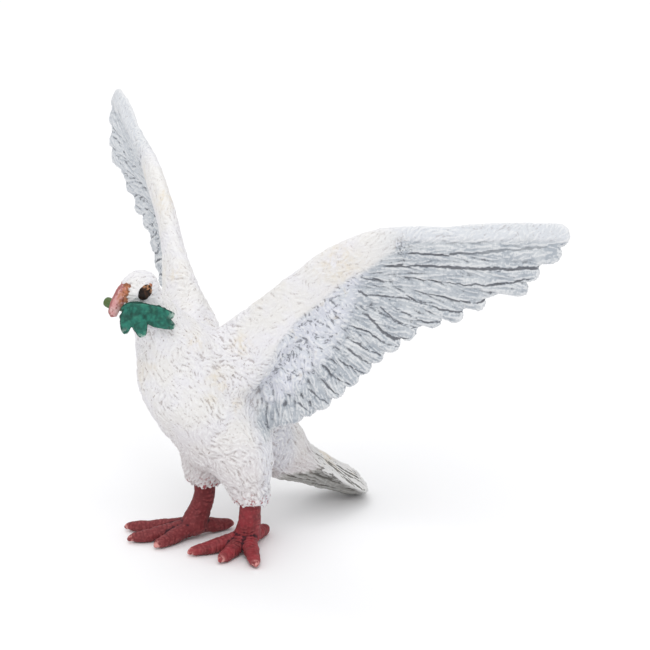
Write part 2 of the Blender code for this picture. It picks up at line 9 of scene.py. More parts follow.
import bmesh
import bpy
import mathutils
import numpy as np
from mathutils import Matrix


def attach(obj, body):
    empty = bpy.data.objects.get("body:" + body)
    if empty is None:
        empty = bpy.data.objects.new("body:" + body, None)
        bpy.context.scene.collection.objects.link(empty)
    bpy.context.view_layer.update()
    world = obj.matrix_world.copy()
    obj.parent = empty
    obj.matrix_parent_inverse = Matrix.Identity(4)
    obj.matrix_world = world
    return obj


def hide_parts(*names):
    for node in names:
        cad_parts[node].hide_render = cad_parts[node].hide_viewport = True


bl_info = {
    "name": "Dove Figurine",
    "version": (1, 0, 0),
    "blender": (4, 5, 0),
    "location": "3D View > Sidebar > Dove",
    "description": "Builds a hand-painted dove figurine with raised wings and a sprig in its beak",
    "category": "Add Mesh",
}

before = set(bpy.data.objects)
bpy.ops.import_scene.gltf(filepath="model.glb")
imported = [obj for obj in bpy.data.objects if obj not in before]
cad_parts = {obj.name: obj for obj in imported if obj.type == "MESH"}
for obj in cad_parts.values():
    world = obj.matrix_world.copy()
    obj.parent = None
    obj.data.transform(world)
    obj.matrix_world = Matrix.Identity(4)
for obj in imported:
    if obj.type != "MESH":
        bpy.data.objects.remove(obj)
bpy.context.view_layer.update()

MILLIMETRE = 0.001
# middle of the bottom of the whole, in the drawing that the shapes are given in
MIDDLE = np.array([-0.0203, 6.9504, 0.0])
UP = np.array([0.0, 0.0, 1.0])
WING_AZIMUTH = 25.3
WING_TILT = 7.0
HEAD_YAW = 22.0
LEAF_AZIMUTH = 58.0
LEAF_THICK = 0.42
# least thickness of the wing behind its front edge
WEB = 0.8
TAIL_X = 0.9
CORE_VOXEL = 0.32
EYE_VOXEL = 0.09
FLOOR_HALF = 3.0
CAMERA_TARGET = np.array([24.0, 4.0, 42.24])
CAMERA_AZIMUTH = 48.0
CAMERA_ELEVATION = 18.8
CAMERA_DISTANCE = 0.560
CAMERA_LENS = 198.1
WORLD_STRENGTH = 0.78
# lamps: name, place, strength, softness in degrees
LAMPS = (
    ("key", (0.27, -0.25, 0.46), 1.0, 34.0),
    ("top", (-0.40, 0.10, 0.80), 0.4, 40.0),
)


def smooth_rows(keys, count):
    """Rows of numbers through the key rows, by a Catmull-Rom curve."""
    keys = np.asarray(keys, float)
    last = len(keys) - 1
    rows = []
    for k in range(count):
        place = k * last / (count - 1)
        i = min(int(place), last - 1)
        t = place - i
        before = keys[max(i - 1, 0)]
        after = keys[min(i + 2, last)]
        here, there = keys[i:i + 2]
        slope_a = (there - before) / (2.0 if i > 0 else 1.0)
        slope_b = (after - here) / (2.0 if i + 2 <= last else 1.0)
        a = 2 * t ** 3 - 3 * t ** 2 + 1
        b = t ** 3 - 2 * t ** 2 + t
        c = -2 * t ** 3 + 3 * t ** 2
        d = t ** 3 - t ** 2
        rows.append(a * here + b * slope_a + c * there + d * slope_b)
    return np.array(rows)


def unit(v):
    v = np.asarray(v, float)
    return v / max(np.linalg.norm(v), 1e-9)


def unit_rows(v):
    v = np.asarray(v, float)
    return v / np.maximum(np.linalg.norm(v, axis=-1, keepdims=True), 1e-9)


def dots(a, b):
    return np.einsum("ij,ij->i", a, b)


def step(x, low, high):
    """0 up to the low number and 1 from the high one, with a smooth rise between."""
    t = np.clip((x - low) / (high - low), 0.0, 1.0)
    return t * t * (3.0 - 2.0 * t)


def column(table, value, across, up=0):
    """One column of a table, read off at a value of another."""
    rows = np.array(table, float)
    return np.interp(value, rows[:, up], rows[:, across])


class Clay:
    """Closed shapes collected into one mesh."""

    def __init__(self):
        self.points = []
        self.faces = []

    def add_rings(self, rings):
        start = len(self.points)
        sides = len(rings[0])
        for ring in rings:
            self.points.extend(ring)
        for r in range(len(rings) - 1):
            for s in range(sides):
                a = start + r * sides + s
                b = start + r * sides + (s + 1) % sides
                self.faces.append((a, b, b + sides, a + sides))
        first = len(self.points)
        self.points.append(np.mean(rings[0], axis=0))
        self.points.append(np.mean(rings[-1], axis=0))
        tail = start + (len(rings) - 1) * sides
        for s in range(sides):
            n = (s + 1) % sides
            self.faces.append((start + n, start + s, first))
            self.faces.append((tail + s, tail + n, first + 1))

    def tube(self, centres, across, halves, sides=14, power=1.0):
        """Loft through centres; across is the direction of the first half."""
        centres = np.asarray(centres, float)
        halves = np.asarray(halves, float)
        tangents = np.gradient(centres, axis=0)
        across = np.broadcast_to(np.asarray(across, float), centres.shape)
        rings = []
        for i, centre in enumerate(centres):
            t = unit(tangents[i])
            u = unit(across[i] - np.dot(across[i], t) * t)
            v = np.cross(t, u)
            ring = []
            for k in range(sides):
                angle = 2 * math.pi * k / sides
                c = math.cos(angle)
                s = math.sin(angle)
                cu = math.copysign(abs(c) ** power, c) * halves[i][0]
                sv = math.copysign(abs(s) ** power, s) * halves[i][1]
                ring.append(centre + u * cu + v * sv)
            rings.append(ring)
        self.add_rings(rings)

    def stack(self, centres, halves, sides=24):
        """Level oval rings, one above another."""
        angles = 2 * math.pi * np.arange(sides) / sides
        oval = np.stack([np.cos(angles), np.sin(angles), 0.0 * angles], axis=1)
        self.add_rings([centre + oval * (*half, 0.0) for centre, half in zip(centres, halves)])

    def ball(self, centre, axes, halves, sides=14):
        """Ellipsoid with its three axes given as rows."""
        axes = np.asarray(axes, float)
        angles = (np.linspace(-1, 1, 11) * math.pi / 2 * 0.97)[:, None]
        centres = np.asarray(centre) + axes[0] * halves[0] * np.sin(angles)
        self.tube(centres, axes[1], np.array(halves[1:]) * np.cos(angles), sides)


# front of the body: y, z, half width, half depth, x
BREAST = [
    (-12.8, 46.4, 2.2, 2.2, -0.1),
    (-11.6, 43.6, 3.2, 3.2, 0.0),
    (-9.6, 40.3, 4.3, 4.9, 0.0),
    (-6.5, 36.8, 6.4, 6.5, 0.0),
    (-4.6, 33.0, 7.8, 7.8, 0.0),
    (-3.4, 29.0, 8.3, 8.9, 0.0),
    (-2.2, 25.5, 8.5, 9.2, 0.4),
    (-0.5, 21.3, 8.4, 8.6, 1.1),
    (0.8, 18.2, 7.9, 7.9, 1.9),
    (1.3, 15.5, 6.9, 6.8, 2.6),
    (1.5, 13.6, 5.4, 4.4, 3.1),
    (1.5, 12.4, 3.0, 2.5, 3.2),
]
# back and rump, in the same columns
RUMP = [
    (-2.0, 37.0, 2.4, 2.2, 0.0),
    (-1.4, 33.0, 5.0, 4.6, 0.0),
    (1.2, 28.0, 6.8, 6.4, 0.2),
    (5.0, 22.5, 7.2, 7.0, 0.5),
    (9.8, 17.6, 6.2, 6.0, 0.8),
    (14.6, 13.2, 4.8, 4.6, 0.9),
    (18.5, 10.2, 3.2, 3.0, 0.9),
]
# pad that leads the breast into the front of each wing: p, q, n, half sizes
PAD = [
    (-1.5, 24.0, -1.0, 2.0, 2.0),
    (0.5, 27.0, -2.6, 4.2, 3.4),
    (3.4, 30.4, -3.8, 5.4, 4.0),
    (7.2, 34.0, -2.6, 5.6, 3.6),
    (11.4, 38.4, -1.0, 4.8, 2.7),
    (15.8, 43.6, -0.2, 3.7, 1.95),
    (20.6, 48.4, 0.0, 3.0, 1.5),
    (26.0, 52.2, 0.1, 2.3, 1.2),
    (32.0, 54.8, 0.2, 1.6, 0.9),
]


def add_body(clay):
    """Breast, rump and the pads that lead into the wings."""
    middle = [4, 0, 1]
    rows = smooth_rows(BREAST, 44)
    clay.stack(rows[:, middle], rows[:, 2:4], 30)
    rows = smooth_rows(RUMP, 30)
    clay.tube(rows[:, middle], (1, 0, 0), rows[:, 2:4], 24)
    for side in (1, -1):
        rows = smooth_rows(PAD, 24)
        centres = np.array([wing_point(side, *row[:3]) for row in rows])
        across = np.array([wing_point(side, row[0] - 1.0, row[1] + 1.0, row[2]) for row in rows]) - centres
        clay.tube(centres, across, rows[:, 3:5], 16)


# middle of the head
HEAD = np.array([-0.1, -13.5, 45.95])


def head_axes():
    """Forward, left and up of the turned head."""
    a = math.radians(HEAD_YAW)
    return np.array([-math.sin(a), -math.cos(a), 0.0]), np.array([math.cos(a), -math.sin(a), 0.0]), UP


def in_head(f, l, u):
    forward, left, up = head_axes()
    return HEAD + forward * f + left * l + up * u


# round forms of the head: forward, up, nod, half length, half width, half height
SKULL = [
    (0.0, 0.0, 0.0, 3.1, 2.8, 3.3),
    (1.0, -0.35, -0.30, 2.7, 2.2, 2.5),
    (-0.4, -1.9, 1.0, 2.9, 2.9, 2.6),
]
# eye: forward, outward, up, then its half sizes
EYE = (0.1, 2.62, 0.45)
EYE_HALF = (0.46, 1.15, 0.95)


def add_head(clay):
    forward, left, up = head_axes()
    for ahead, high, nod, *halves in SKULL:
        clay.ball(in_head(ahead, 0, high), (unit(forward + up * nod), left, up), halves, 18)
    for side in (1, -1):
        spot = in_head(EYE[0], EYE[1] * side, EYE[2])
        out = unit(left * side + forward * 0.15)
        clay.ball(spot, (out, up, np.cross(out, up)), EYE_HALF, 12)


# beak halves in the middle plane of the head: forward, up, half width, half depth
BEAK_UPPER = [
    (1.4, 0.5, 1.1, 0.9),
    (2.6, 0.35, 1.1, 0.95),
    (3.35, -0.85, 1.0, 0.95),
    (4.15, -2.1, 0.88, 0.78),
    (4.5, -3.1, 0.76, 0.66),
    (4.5, -3.85, 0.42, 0.42),
]
BEAK_LOWER = [
    (0.6, -1.9, 1.2, 0.9),
    (1.2, -2.9, 1.0, 0.62),
    (1.75, -3.6, 0.8, 0.46),
    (2.35, -4.15, 0.45, 0.3),
]


def camber(p, q):
    """How far the wing stands behind its plane; the outer tips curl forward."""
    drop = column(WING, p, 1) + 0.2 - q
    root = 1.6 * np.exp(-((p - 3.0) / 7.0) ** 2)
    arm = -1.2 * step(p, 6.0, 16.0) + 1.3 * step(p, 34.0, 56.0)
    arm = arm * (1.0 - step(drop, 3.0, 12.0))
    return root + arm - 2.0 * step(p, 36.0, 56.0) * np.clip(drop / 8.0, 0.0, 1.0)


def wing_point(side, p, q, n=0.0):
    """Point of a wing: p runs outward along it, q up, n behind its face."""
    a = math.radians(WING_AZIMUTH)
    lift = n + camber(p, q)
    x = p * math.cos(a) - lift * math.sin(a)
    y = p * math.sin(a) + lift * math.cos(a)
    return np.array([x * side, y, q])


# wing core: leading edge p, q; trailing edge p, q; thickness
WING = [
    (-1.0, 33.2, 5.0, 20.0, 4.0),
    (4.0, 36.4, 11.6, 21.6, 4.0),
    (9.2, 40.6, 17.4, 24.2, 3.8),
    (14.0, 45.4, 22.5, 28.1, 3.6),
    (17.0, 49.4, 26.7, 32.1, 3.4),
    (21.1, 52.8, 31.0, 36.5, 3.1),
    (25.6, 55.4, 35.1, 40.1, 2.8),
    (30.6, 57.5, 39.7, 43.2, 2.5),
    (36.5, 58.4, 44.5, 45.6, 2.2),
    (43.5, 58.9, 49.7, 48.8, 1.9),
    (50.0, 59.6, 54.9, 52.0, 1.6),
    (56.2, 60.4, 57.8, 55.6, 1.2),
]


def section(share):
    """Thickness share of the wing at a share of its chord."""
    front = math.sqrt(max(0.0, 1.0 - (1.0 - min(share / 0.16, 1.0)) ** 2))
    return front * (1.0 - 0.74 * step(share, 0.16, 0.61)) * (1.0 if share < 0.96 else 0.6)


def add_wing_core(clay, side):
    rings = []
    shares = [0.0, 0.02, 0.06, 0.12, 0.2, 0.3, 0.42, 0.56, 0.72, 0.88, 0.98, 1.0]
    last = len(shares) - 1
    for row in smooth_rows(WING, 34):
        lead = row[:2]
        trail = row[2:4]
        deep = [0.5 * max(row[4] * section(s), WEB * step(s, 0.0, 0.3)) for s in shares]
        ring = []
        for face, places in ((1, range(last + 1)), (-1, range(last - 1, 0, -1))):
            for k in places:
                at = lead + (trail - lead) * shares[k]
                ring.append(wing_point(side, at[0], at[1], face * deep[k]))
        rings.append(ring[::side])
    clay.add_rings(rings)


# flight feathers: number, tip p, tip q, base p, base q, half width, bow
FLIGHT = [
    (1, 61.4, 59.6, 33.5, 55.6, 2.0, 0.35),
    (2, 60.3, 56.8, 30.5, 54.0, 2.05, 0.8),
    (3, 57.1, 53.6, 28.4, 52.0, 1.95, 0.8),
    (4, 55.4, 50.9, 27.3, 50.1, 1.9, 0.9),
    (5, 48.2, 47.4, 26.2, 48.4, 2.0, 0.9),
    (6, 44.3, 44.7, 25.5, 46.9, 2.05, 0.8),
    (7, 40.5, 43.1, 25.1, 45.2, 2.1, 0.7),
    (8, 36.1, 40.2, 24.4, 43.2, 2.1, 0.6),
    (10, 30.5, 35.4, 22.6, 39.4, 2.1, 0.5),
    (12, 25.9, 30.4, 20.6, 35.6, 2.1, 0.4),
    (14, 20.4, 25.4, 17.6, 32.2, 2.1, 0.3),
    (16, 15.0, 22.3, 14.6, 28.6, 2.0, 0.2),
    (18, 10.8, 20.6, 10.8, 26.4, 1.9, 0.1),
]
FLIGHT_COUNT = 18
# rows of covert feathers on each face: start, reach, lift off the wing, half width
COVERT_ROWS = ((-0.6, 4.2, 0.42, 1.15), (-3.2, 1.6, 0.7, 1.2), (-5.2, -0.8, 0.85, 1.25))
# where the smooth arm ends and the covert feathers begin: p, q
COVERT_LINE = [
    (7.2, 27.6),
    (14.0, 36.6),
    (16.9, 40.6),
    (21.0, 44.3),
    (25.2, 48.4),
    (28.8, 50.6),
    (34.1, 55.1),
]


def flight_feather(number):
    """Tip, base, half width and bow of one flight feather."""
    tp, tq, bp, bq, half, bow = [column(FLIGHT, number, c) for c in range(1, 7)]
    return np.array([tp, tq]), np.array([bp, bq]), half, bow


# tail: y of centre, z of ridge, z of side edges, z of the underside, half width
TAIL = [
    (12.0, 18.6, 14.4, 7.6, 4.4),
    (16.0, 15.4, 11.6, 6.2, 4.6),
    (20.0, 11.8, 8.8, 4.5, 4.5),
    (24.0, 8.7, 6.0, 2.8, 4.4),
    (28.0, 5.9, 3.4, 1.0, 4.3),
    (31.0, 3.9, 1.8, 0.2, 3.6),
    (32.9, 2.6, 1.2, 0.0, 1.6),
]


# legs: tarsus top, foot centre, then the toe tips, x and y on the floor
LEGS = (
    dict(top=(8.9, 1.4), base=(7.3, 1.9),
         toes=((3.8, -7.6), (9.8, -6.1), (15.2, -3.0)), hind=(4.3, 8.9)),
    dict(top=(-1.9, 0.7), base=(-2.2, -1.5),
         toes=((-11.8, -8.1), (-7.25, -11.2), (-2.1, -9.8)), hind=(-1.0, 6.0)),
)
# thighs: top, middle and low end, then how full the thigh is
THIGHS = (
    ((6.6, 0.6, 20.5), (7.9, 1.0, 14.6), (8.9, 1.4, 8.9), 1.12),
    ((-3.0, 0.6, 19.5), (-2.5, 0.7, 13.8), (-1.8, 1.0, 9.3), 0.84),
)


# feathered thigh from its top down: share of the way, rise, half width, half depth, grows with the thigh
THIGH = [
    (0.0, 2.0, 3.0, 4.0, 0),
    (0.0, 0.0, 3.8, 5.0, 1),
    (1.0, 0.0, 3.9, 4.4, 1),
    (1.6, 0.0, 3.3, 3.4, 0),
    (2.0, 0.8, 2.95, 3.0, 0),
    (2.0, 0.0, 2.6, 2.7, 0),
]
# rows of tufts round each hem: count, radius, rise
HEM_ROWS = ((24, 2.35, 0.75), (22, 2.6, 1.5), (20, 2.85, 2.4))
# distance from one ring of scutes to the next
SCUTE_GAP = 0.8
# knobs of a toe: share of its length, size, rise of the knuckle
KNUCKLES = [
    (0.0, 1.6, 0.3),
    (0.16, 1.52, 0.45),
    (0.34, 1.34, 0.35),
    (0.5, 1.3, 0.3),
    (0.66, 1.14, 0.22),
    (0.8, 1.04, 0.16),
    (0.92, 0.78, 0.04),
    (1.0, 0.36, -0.15),
]


def add_leaf(clay, base, tip, side_on, out, half, thick):
    """One leaf: pointed at both ends, a little folded along its rib."""
    centres = []
    halves = []
    for t in np.linspace(0.0, 1.0, 12):
        centres.append(base + (tip - base) * t + out * 0.5 * math.sin(math.pi * t))
        wide = half * (math.sin(math.pi * (0.12 + 0.78 * t)) ** 0.8)
        halves.append((max(wide, 0.28), thick * (1.0 if 0.05 < t < 0.95 else 0.7)))
    clay.tube(centres, side_on, halves, 12, 0.9)


# stem of the sprig: x, y, z and half thickness, from its cut end to the leaves
STEM = [
    (-5.2, -16.45, 43.5, 0.55),
    (-4.9, -16.42, 43.45, 0.82),
    (-3.4, -16.36, 43.3, 0.8),
    (-2.5, -16.3, 43.2, 0.5),
    (-1.2, -16.3, 43.15, 0.45),
    (0.2, -16.7, 43.45, 0.5),
    (1.2, -17.4, 43.9, 0.62),
    (2.2, -17.3, 44.0, 0.7),
]
# where the leaves leave the stem
LEAF_ROOT = np.array([1.6, -17.67, 44.15])
# leaves, from root to tip: run, rise, run, rise, half width, fold outward
LEAVES = [
    (-0.1, 0.3, -0.39, -3.88, 1.05, 0.35),
    (1.2, 0.3, 2.38, -4.6, 1.3, 0.45),
    (1.6, -0.3, 7.43, -3.3, 1.3, 0.2),
    (0.2, 0.5, 7.35, -1.5, 1.25, 0.0),
]
# round pads near the end of each leaf: how far back, share of its half width
LEAF_ENDS = ((0.70, 0.48), (1.15, 0.66), (1.8, 0.88), (2.7, 1.05))


def leaf_axes():
    """Directions of the leaves: along their plane, up, and out of the plane."""
    a = math.radians(LEAF_AZIMUTH)
    return np.array([math.cos(a), math.sin(a), 0.0]), UP, np.array([math.sin(a), -math.cos(a), 0.0])


def leaf_lines():
    """Root, tip and half width of each leaf."""
    along, up, out = leaf_axes()
    for run_a, rise_a, run_b, rise_b, half, lift in LEAVES:
        root = LEAF_ROOT + along * run_a + up * rise_a
        yield root, LEAF_ROOT + along * run_b + up * rise_b + out * lift, half


def sprig_clay():
    """The stem and its leaves, which are full and narrow to round ends."""
    clay = Clay()
    rows = smooth_rows(STEM, 24)
    clay.tube(rows[:, :3], UP, rows[:, [3, 3]], 12)
    along, up, out = leaf_axes()
    for root, tip, half in leaf_lines():
        way = unit(tip - root)
        side_on = np.cross(way, out)
        add_leaf(clay, root, tip, side_on, out, half, LEAF_THICK)
        for back, share in LEAF_ENDS:
            spot = tip - way * back + out * 0.12
            clay.ball(spot, (way, side_on, out), (0.75, half * share, 0.55), 16)
    clay.ball(LEAF_ROOT + along * 1.2 + up * 0.1, (along, up, out), (2.2, 1.15, 0.6), 12)
    return clay


def in_scene(name, data):
    """A new object in the scene."""
    thing = bpy.data.objects.new(name, data)
    bpy.context.scene.collection.objects.link(thing)
    return thing


def evaluated(thing):
    bpy.context.view_layer.update()
    graph = bpy.context.evaluated_depsgraph_get()
    return bpy.data.meshes.new_from_object(thing.evaluated_get(graph))


def fused(clay, voxel, times):
    """One closed skin round all the shapes, smoothed a number of times."""
    mesh = bpy.data.meshes.new("shapes")
    mesh.from_pydata([tuple(p) for p in clay.points], [], clay.faces)
    mesh.validate()
    shape = bmesh.new()
    shape.from_mesh(mesh)
    bmesh.ops.recalc_face_normals(shape, faces=shape.faces)
    shape.to_mesh(mesh)
    shape.free()
    thing = in_scene("shapes", mesh)
    remesh = thing.modifiers.new("fuse", "REMESH")
    remesh.mode = "VOXEL"
    remesh.voxel_size = voxel
    remesh.adaptivity = 0.0
    skin = evaluated(thing)
    bpy.data.objects.remove(thing, do_unlink=True)
    relax(skin, 0.5, times)
    return skin


def read_rows(items, name):
    """Three numbers of each point or face of a mesh."""
    flat = np.empty(len(items) * 3, np.float32)
    items.foreach_get(name, flat)
    return flat.reshape(-1, 3).astype(float)


def read_points(mesh):
    return read_rows(mesh.vertices, "co")


def read_normals(mesh):
    return read_rows(mesh.vertices, "normal")


def write_points(mesh, points):
    mesh.vertices.foreach_set("co", points.astype(np.float32).ravel())
    mesh.update()


def neighbours(mesh):
    """Both ends of every edge, and how many edges each point has."""
    edges = np.empty(len(mesh.edges) * 2, np.int64)
    mesh.edges.foreach_get("vertices", edges)
    a = edges[0::2]
    b = edges[1::2]
    count = len(mesh.vertices)
    degree = np.maximum(np.bincount(a, minlength=count) + np.bincount(b, minlength=count), 1)
    return a, b, degree


def around(values, links):
    """Mean of each point's neighbours."""
    a, b, degree = links
    count = len(degree)
    if values.ndim == 1:
        return (np.bincount(a, values[b], count) + np.bincount(b, values[a], count)) / degree
    return np.stack([around(values[:, c], links) for c in range(values.shape[1])], axis=1)


def spread(values, links, times):
    for _ in range(times):
        values = 0.5 * values + 0.5 * around(values, links)
    return values


def relax(mesh, weight, times):
    """Smooth the skin without shrinking it, by a weight for each point."""
    links = neighbours(mesh)
    points = read_points(mesh)
    weight = np.broadcast_to(weight, len(points))[:, None]
    for factor in (0.6, -0.58) * times:
        points += factor * weight * (around(points, links) - points)
    write_points(mesh, points)


def fill_creases(mesh, weight, times):
    """Round the hollow corners, as wet clay is pushed into them."""
    links = neighbours(mesh)
    points = read_points(mesh)
    for k in range(times):
        if k % 10 == 0:
            write_points(mesh, points)
            normals = read_normals(mesh)
        move = around(points, links) - points
        points += (0.9 * weight * (dots(move, normals) > 0))[:, None] * move
    write_points(mesh, points)


def note(mesh, **values):
    """Keep a number for each point of a mesh, for the paint to read."""
    for name, value in values.items():
        made = mesh.attributes.new(name, "FLOAT", "POINT")
        made.data.foreach_set("value", np.asarray(value, np.float32))


def note_ways(mesh, ways):
    """Keep a direction for each point of a mesh."""
    across = mesh.attributes.new("across", "FLOAT_VECTOR", "POINT")
    across.data.foreach_set("vector", np.array(ways, np.float32).ravel())


def quill_mesh(quills):
    """Lines with a half width and a sideways direction at each point, one for each feather."""
    points = []
    edges = []
    widths = []
    sideways = []
    for centres, across, halves in quills:
        start = len(points)
        points.extend(tuple(p) for p in centres)
        widths.extend(halves)
        sideways.extend(tuple(a) for a in across)
        edges.extend((start + i, start + i + 1) for i in range(len(centres) - 1))
    mesh = bpy.data.meshes.new("quills")
    mesh.from_pydata(points, edges, [])
    note(mesh, half_width=widths)
    note_ways(mesh, sideways)
    return mesh


def node_group(name, kind, given, made):
    """An empty node group with named inputs and outputs, each with its kind and default."""
    tree = bpy.data.node_groups.new(name, kind)
    for side, rows in (("INPUT", given), ("OUTPUT", made)):
        for title, sort, *default in rows:
            socket = tree.interface.new_socket(title, in_out=side, socket_type="NodeSocket" + sort)
            if default:
                socket.default_value = default[0]
    return tree


class Nodes:
    """Short names for placing and linking nodes."""

    def __init__(self, tree):
        self.tree = tree

    def put(self, socket, value):
        """Give an input a link, a colour or a value."""
        if isinstance(value, bpy.types.NodeSocket):
            self.tree.links.new(value, socket)
        elif socket.type == "RGBA":
            colour = [value] * 3 if isinstance(value, float) else tuple(value)[:3]
            socket.default_value = (*colour, 1.0)
        else:
            socket.default_value = value

    def new(self, kind, inputs=None, **values):
        """A node with its settings, and with its inputs by name or number."""
        node = self.tree.nodes.new(kind)
        for name, value in values.items():
            setattr(node, name, value)
        for name, value in (inputs or {}).items():
            self.put(node.inputs[name], value)
        return node

    def out(self, kind, inputs=None, **values):
        """The first output of a new node."""
        return self.new(kind, inputs, **values).outputs[0]


def blade_tree():
    """Geometry Nodes: a thin lens of a feather swept along each quill."""
    tree = node_group("feather_blades", "GeometryNodeTree",
                      (("Quills", "Geometry"), ("Thinness", "Float", 0.3), ("Sides", "Int", 12),
                       ("Paint", "Material")), (("Feathers", "Geometry"),))
    n = Nodes(tree)
    given = n.new("NodeGroupInput").outputs
    curves = n.out("GeometryNodeMeshToCurve", {0: given["Quills"]})
    width = n.out("GeometryNodeInputNamedAttribute", {"Name": "half_width"}, data_type="FLOAT")
    across = n.out("GeometryNodeInputNamedAttribute", {"Name": "across"}, data_type="FLOAT_VECTOR")
    turn = n.out("GeometryNodeSetCurveNormal", {"Curve": curves, "Normal": across}, mode="FREE")
    ring = n.out("GeometryNodeCurvePrimitiveCircle", {"Resolution": given["Sides"], "Radius": 1.0})
    shape = n.out("ShaderNodeCombineXYZ", {"X": 1.0, "Y": given["Thinness"], "Z": 1.0})
    flat = n.out("GeometryNodeTransform", {"Geometry": ring, "Scale": shape})
    sweep = n.out("GeometryNodeCurveToMesh",
                  {"Curve": turn, "Profile Curve": flat, "Scale": width, "Fill Caps": True})
    real = n.out("GeometryNodeRealizeInstances", {0: sweep})
    paint = n.out("GeometryNodeSetMaterial", {"Geometry": real, "Material": given["Paint"]})
    n.new("NodeGroupOutput", {0: paint})
    return tree


def tuft_tree():
    """Geometry Nodes: a pointed tuft on every point, turned the way the point says."""
    tree = node_group("hem_tufts", "GeometryNodeTree",
                      (("Points", "Geometry"), ("Length", "Float", 1.6), ("Width", "Float", 0.55),
                       ("Seed", "Int", 5), ("Paint", "Material")), (("Tufts", "Geometry"),))
    n = Nodes(tree)
    given = n.new("NodeGroupInput").outputs
    size = n.out("ShaderNodeCombineXYZ", {"X": given["Width"], "Y": given["Width"], "Z": given["Length"]})
    drop = n.out("GeometryNodeMeshUVSphere", {"Segments": 10, "Rings": 8, "Radius": 1.0})
    form = n.out("GeometryNodeTransform", {"Geometry": drop, "Scale": size})
    way = n.out("GeometryNodeInputNamedAttribute", {"Name": "across"}, data_type="FLOAT_VECTOR")
    turn = n.out("FunctionNodeAlignEulerToVector", {"Vector": way}, axis="Z")
    vary = n.new("FunctionNodeRandomValue", {"Seed": given["Seed"]}, data_type="FLOAT")
    vary.inputs["Min"].default_value = 0.65
    vary.inputs["Max"].default_value = 1.25
    scale = [output for output in vary.outputs if output.enabled][0]
    place = n.out("GeometryNodeInstanceOnPoints",
                  {"Points": given["Points"], "Instance": form, "Rotation": turn, "Scale": scale})
    real = n.out("GeometryNodeRealizeInstances", {0: place})
    paint = n.out("GeometryNodeSetMaterial", {"Geometry": real, "Material": given["Paint"]})
    n.new("NodeGroupOutput", {0: paint})
    return tree


def grown(tree, mesh, **values):
    """The plain mesh that a Geometry Nodes tree makes of a mesh."""
    holder = in_scene("holder", mesh)
    nodes = holder.modifiers.new("nodes", "NODES")
    nodes.node_group = tree
    for item in tree.interface.items_tree:
        if item.item_type == "SOCKET" and item.in_out == "INPUT" and item.name in values:
            nodes[item.identifier] = values[item.name]
    made = evaluated(holder)
    bpy.data.objects.remove(holder, do_unlink=True)
    return made


def add_mesh(clay, mesh):
    """Put an outside mesh in with the other shapes."""
    start = len(clay.points)
    clay.points.extend(read_points(mesh))
    clay.faces.extend(tuple(start + v for v in face.vertices) for face in mesh.polygons)


def blade_line(side, tip, base, half, bow, height, tilt, rings=13):
    """Quill of one feather: centres, sideways directions and half widths."""
    along = unit(tip - base)
    normal_2d = np.array([-along[1], along[0]])
    shoulder = 1.0 - 1.15 * half / max(np.linalg.norm(tip - base), 1.0)
    centres = []
    acrosses = []
    halves = []
    c = math.cos(math.radians(tilt))
    s = math.sin(math.radians(tilt))
    for k in range(rings):
        t = 1.0 - (1.0 - k / (rings - 1)) ** 1.6
        at = base + (tip - base) * t + normal_2d * bow * 4 * t * (1 - t)
        width = half * (0.7 + 0.3 * math.sin(math.pi * min(1.0, t * 0.75)))
        end = max(0.0, (t - shoulder) / (1.0 - shoulder))
        width *= math.sqrt(max(0.0, 1.0 - end ** 2.4 * 0.985))
        width *= 1.0 - 0.5 * max(0.0, (0.08 - t) / 0.08)
        here = wing_point(side, *at, height)
        there = wing_point(side, *(at + normal_2d), height)
        back = wing_point(side, *at, height + 1.0)
        acrosses.append(unit(unit(there - here) * c + unit(back - here) * s))
        centres.append(here)
        halves.append(width)
    return centres, acrosses, halves


def flight_lines(side):
    numbers = range(1, FLIGHT_COUNT + 1)
    return [blade_line(side, *flight_feather(number), 0.0, WING_TILT) for number in numbers]


def covert_lines(side):
    """Short rough feathers in three rows on each face, over the roots of the long ones."""
    chance = np.random.default_rng(11 if side > 0 else 12)
    vary = chance.uniform
    lines = []
    for face in (-1, 1):
        for start, reach, lift, wide in COVERT_ROWS:
            for number in np.arange(3.0, 18.0, 0.78):
                tip, base = flight_feather(number + vary(-0.22, 0.22))[:2]
                down = unit(unit(tip - base) * 0.75 + np.array([0.35, -0.65]))
                inner = min(1.0, (number - 1.5) / 5.0)
                a = base + down * (start * inner + vary(-0.6, 0.6))
                b = base + down * (reach + vary(-0.9, 0.9))
                size = wide * vary(0.75, 1.15)
                height = face * lift * vary(0.75, 1.1)
                lines.append(blade_line(side, b, a, size, 0.1, height, WING_TILT * vary(-0.6, 1.6), 9))
    return lines


def tail_lines():
    lines = []
    count = 14
    for share in np.arange(-3, 4) / 3.0:
        fan = 3.9 * share
        drop = 2.7 * abs(share) ** 1.4
        rows = smooth_rows([
            (TAIL_X + fan * 0.8, 14.5, 16.6 - drop),
            (TAIL_X + fan * 0.95, 19.5, 12.3 - drop),
            (TAIL_X + fan * 1.05, 25.0, 8.1 - drop),
            (TAIL_X + fan * 1.0, 32.6 - 1.6 * abs(share), 3.0 - 0.45 * drop),
        ], count)
        lean = math.radians(-38.0 * share)
        ends = np.maximum(0.0, (np.arange(count) / (count - 1) - 0.82) / 0.18)
        halves = 1.25 * np.sqrt(np.maximum(0.03, 1 - ends ** 2.2))
        lines.append((rows, [(math.cos(lean), 0, math.sin(lean))] * count, halves))
    return lines


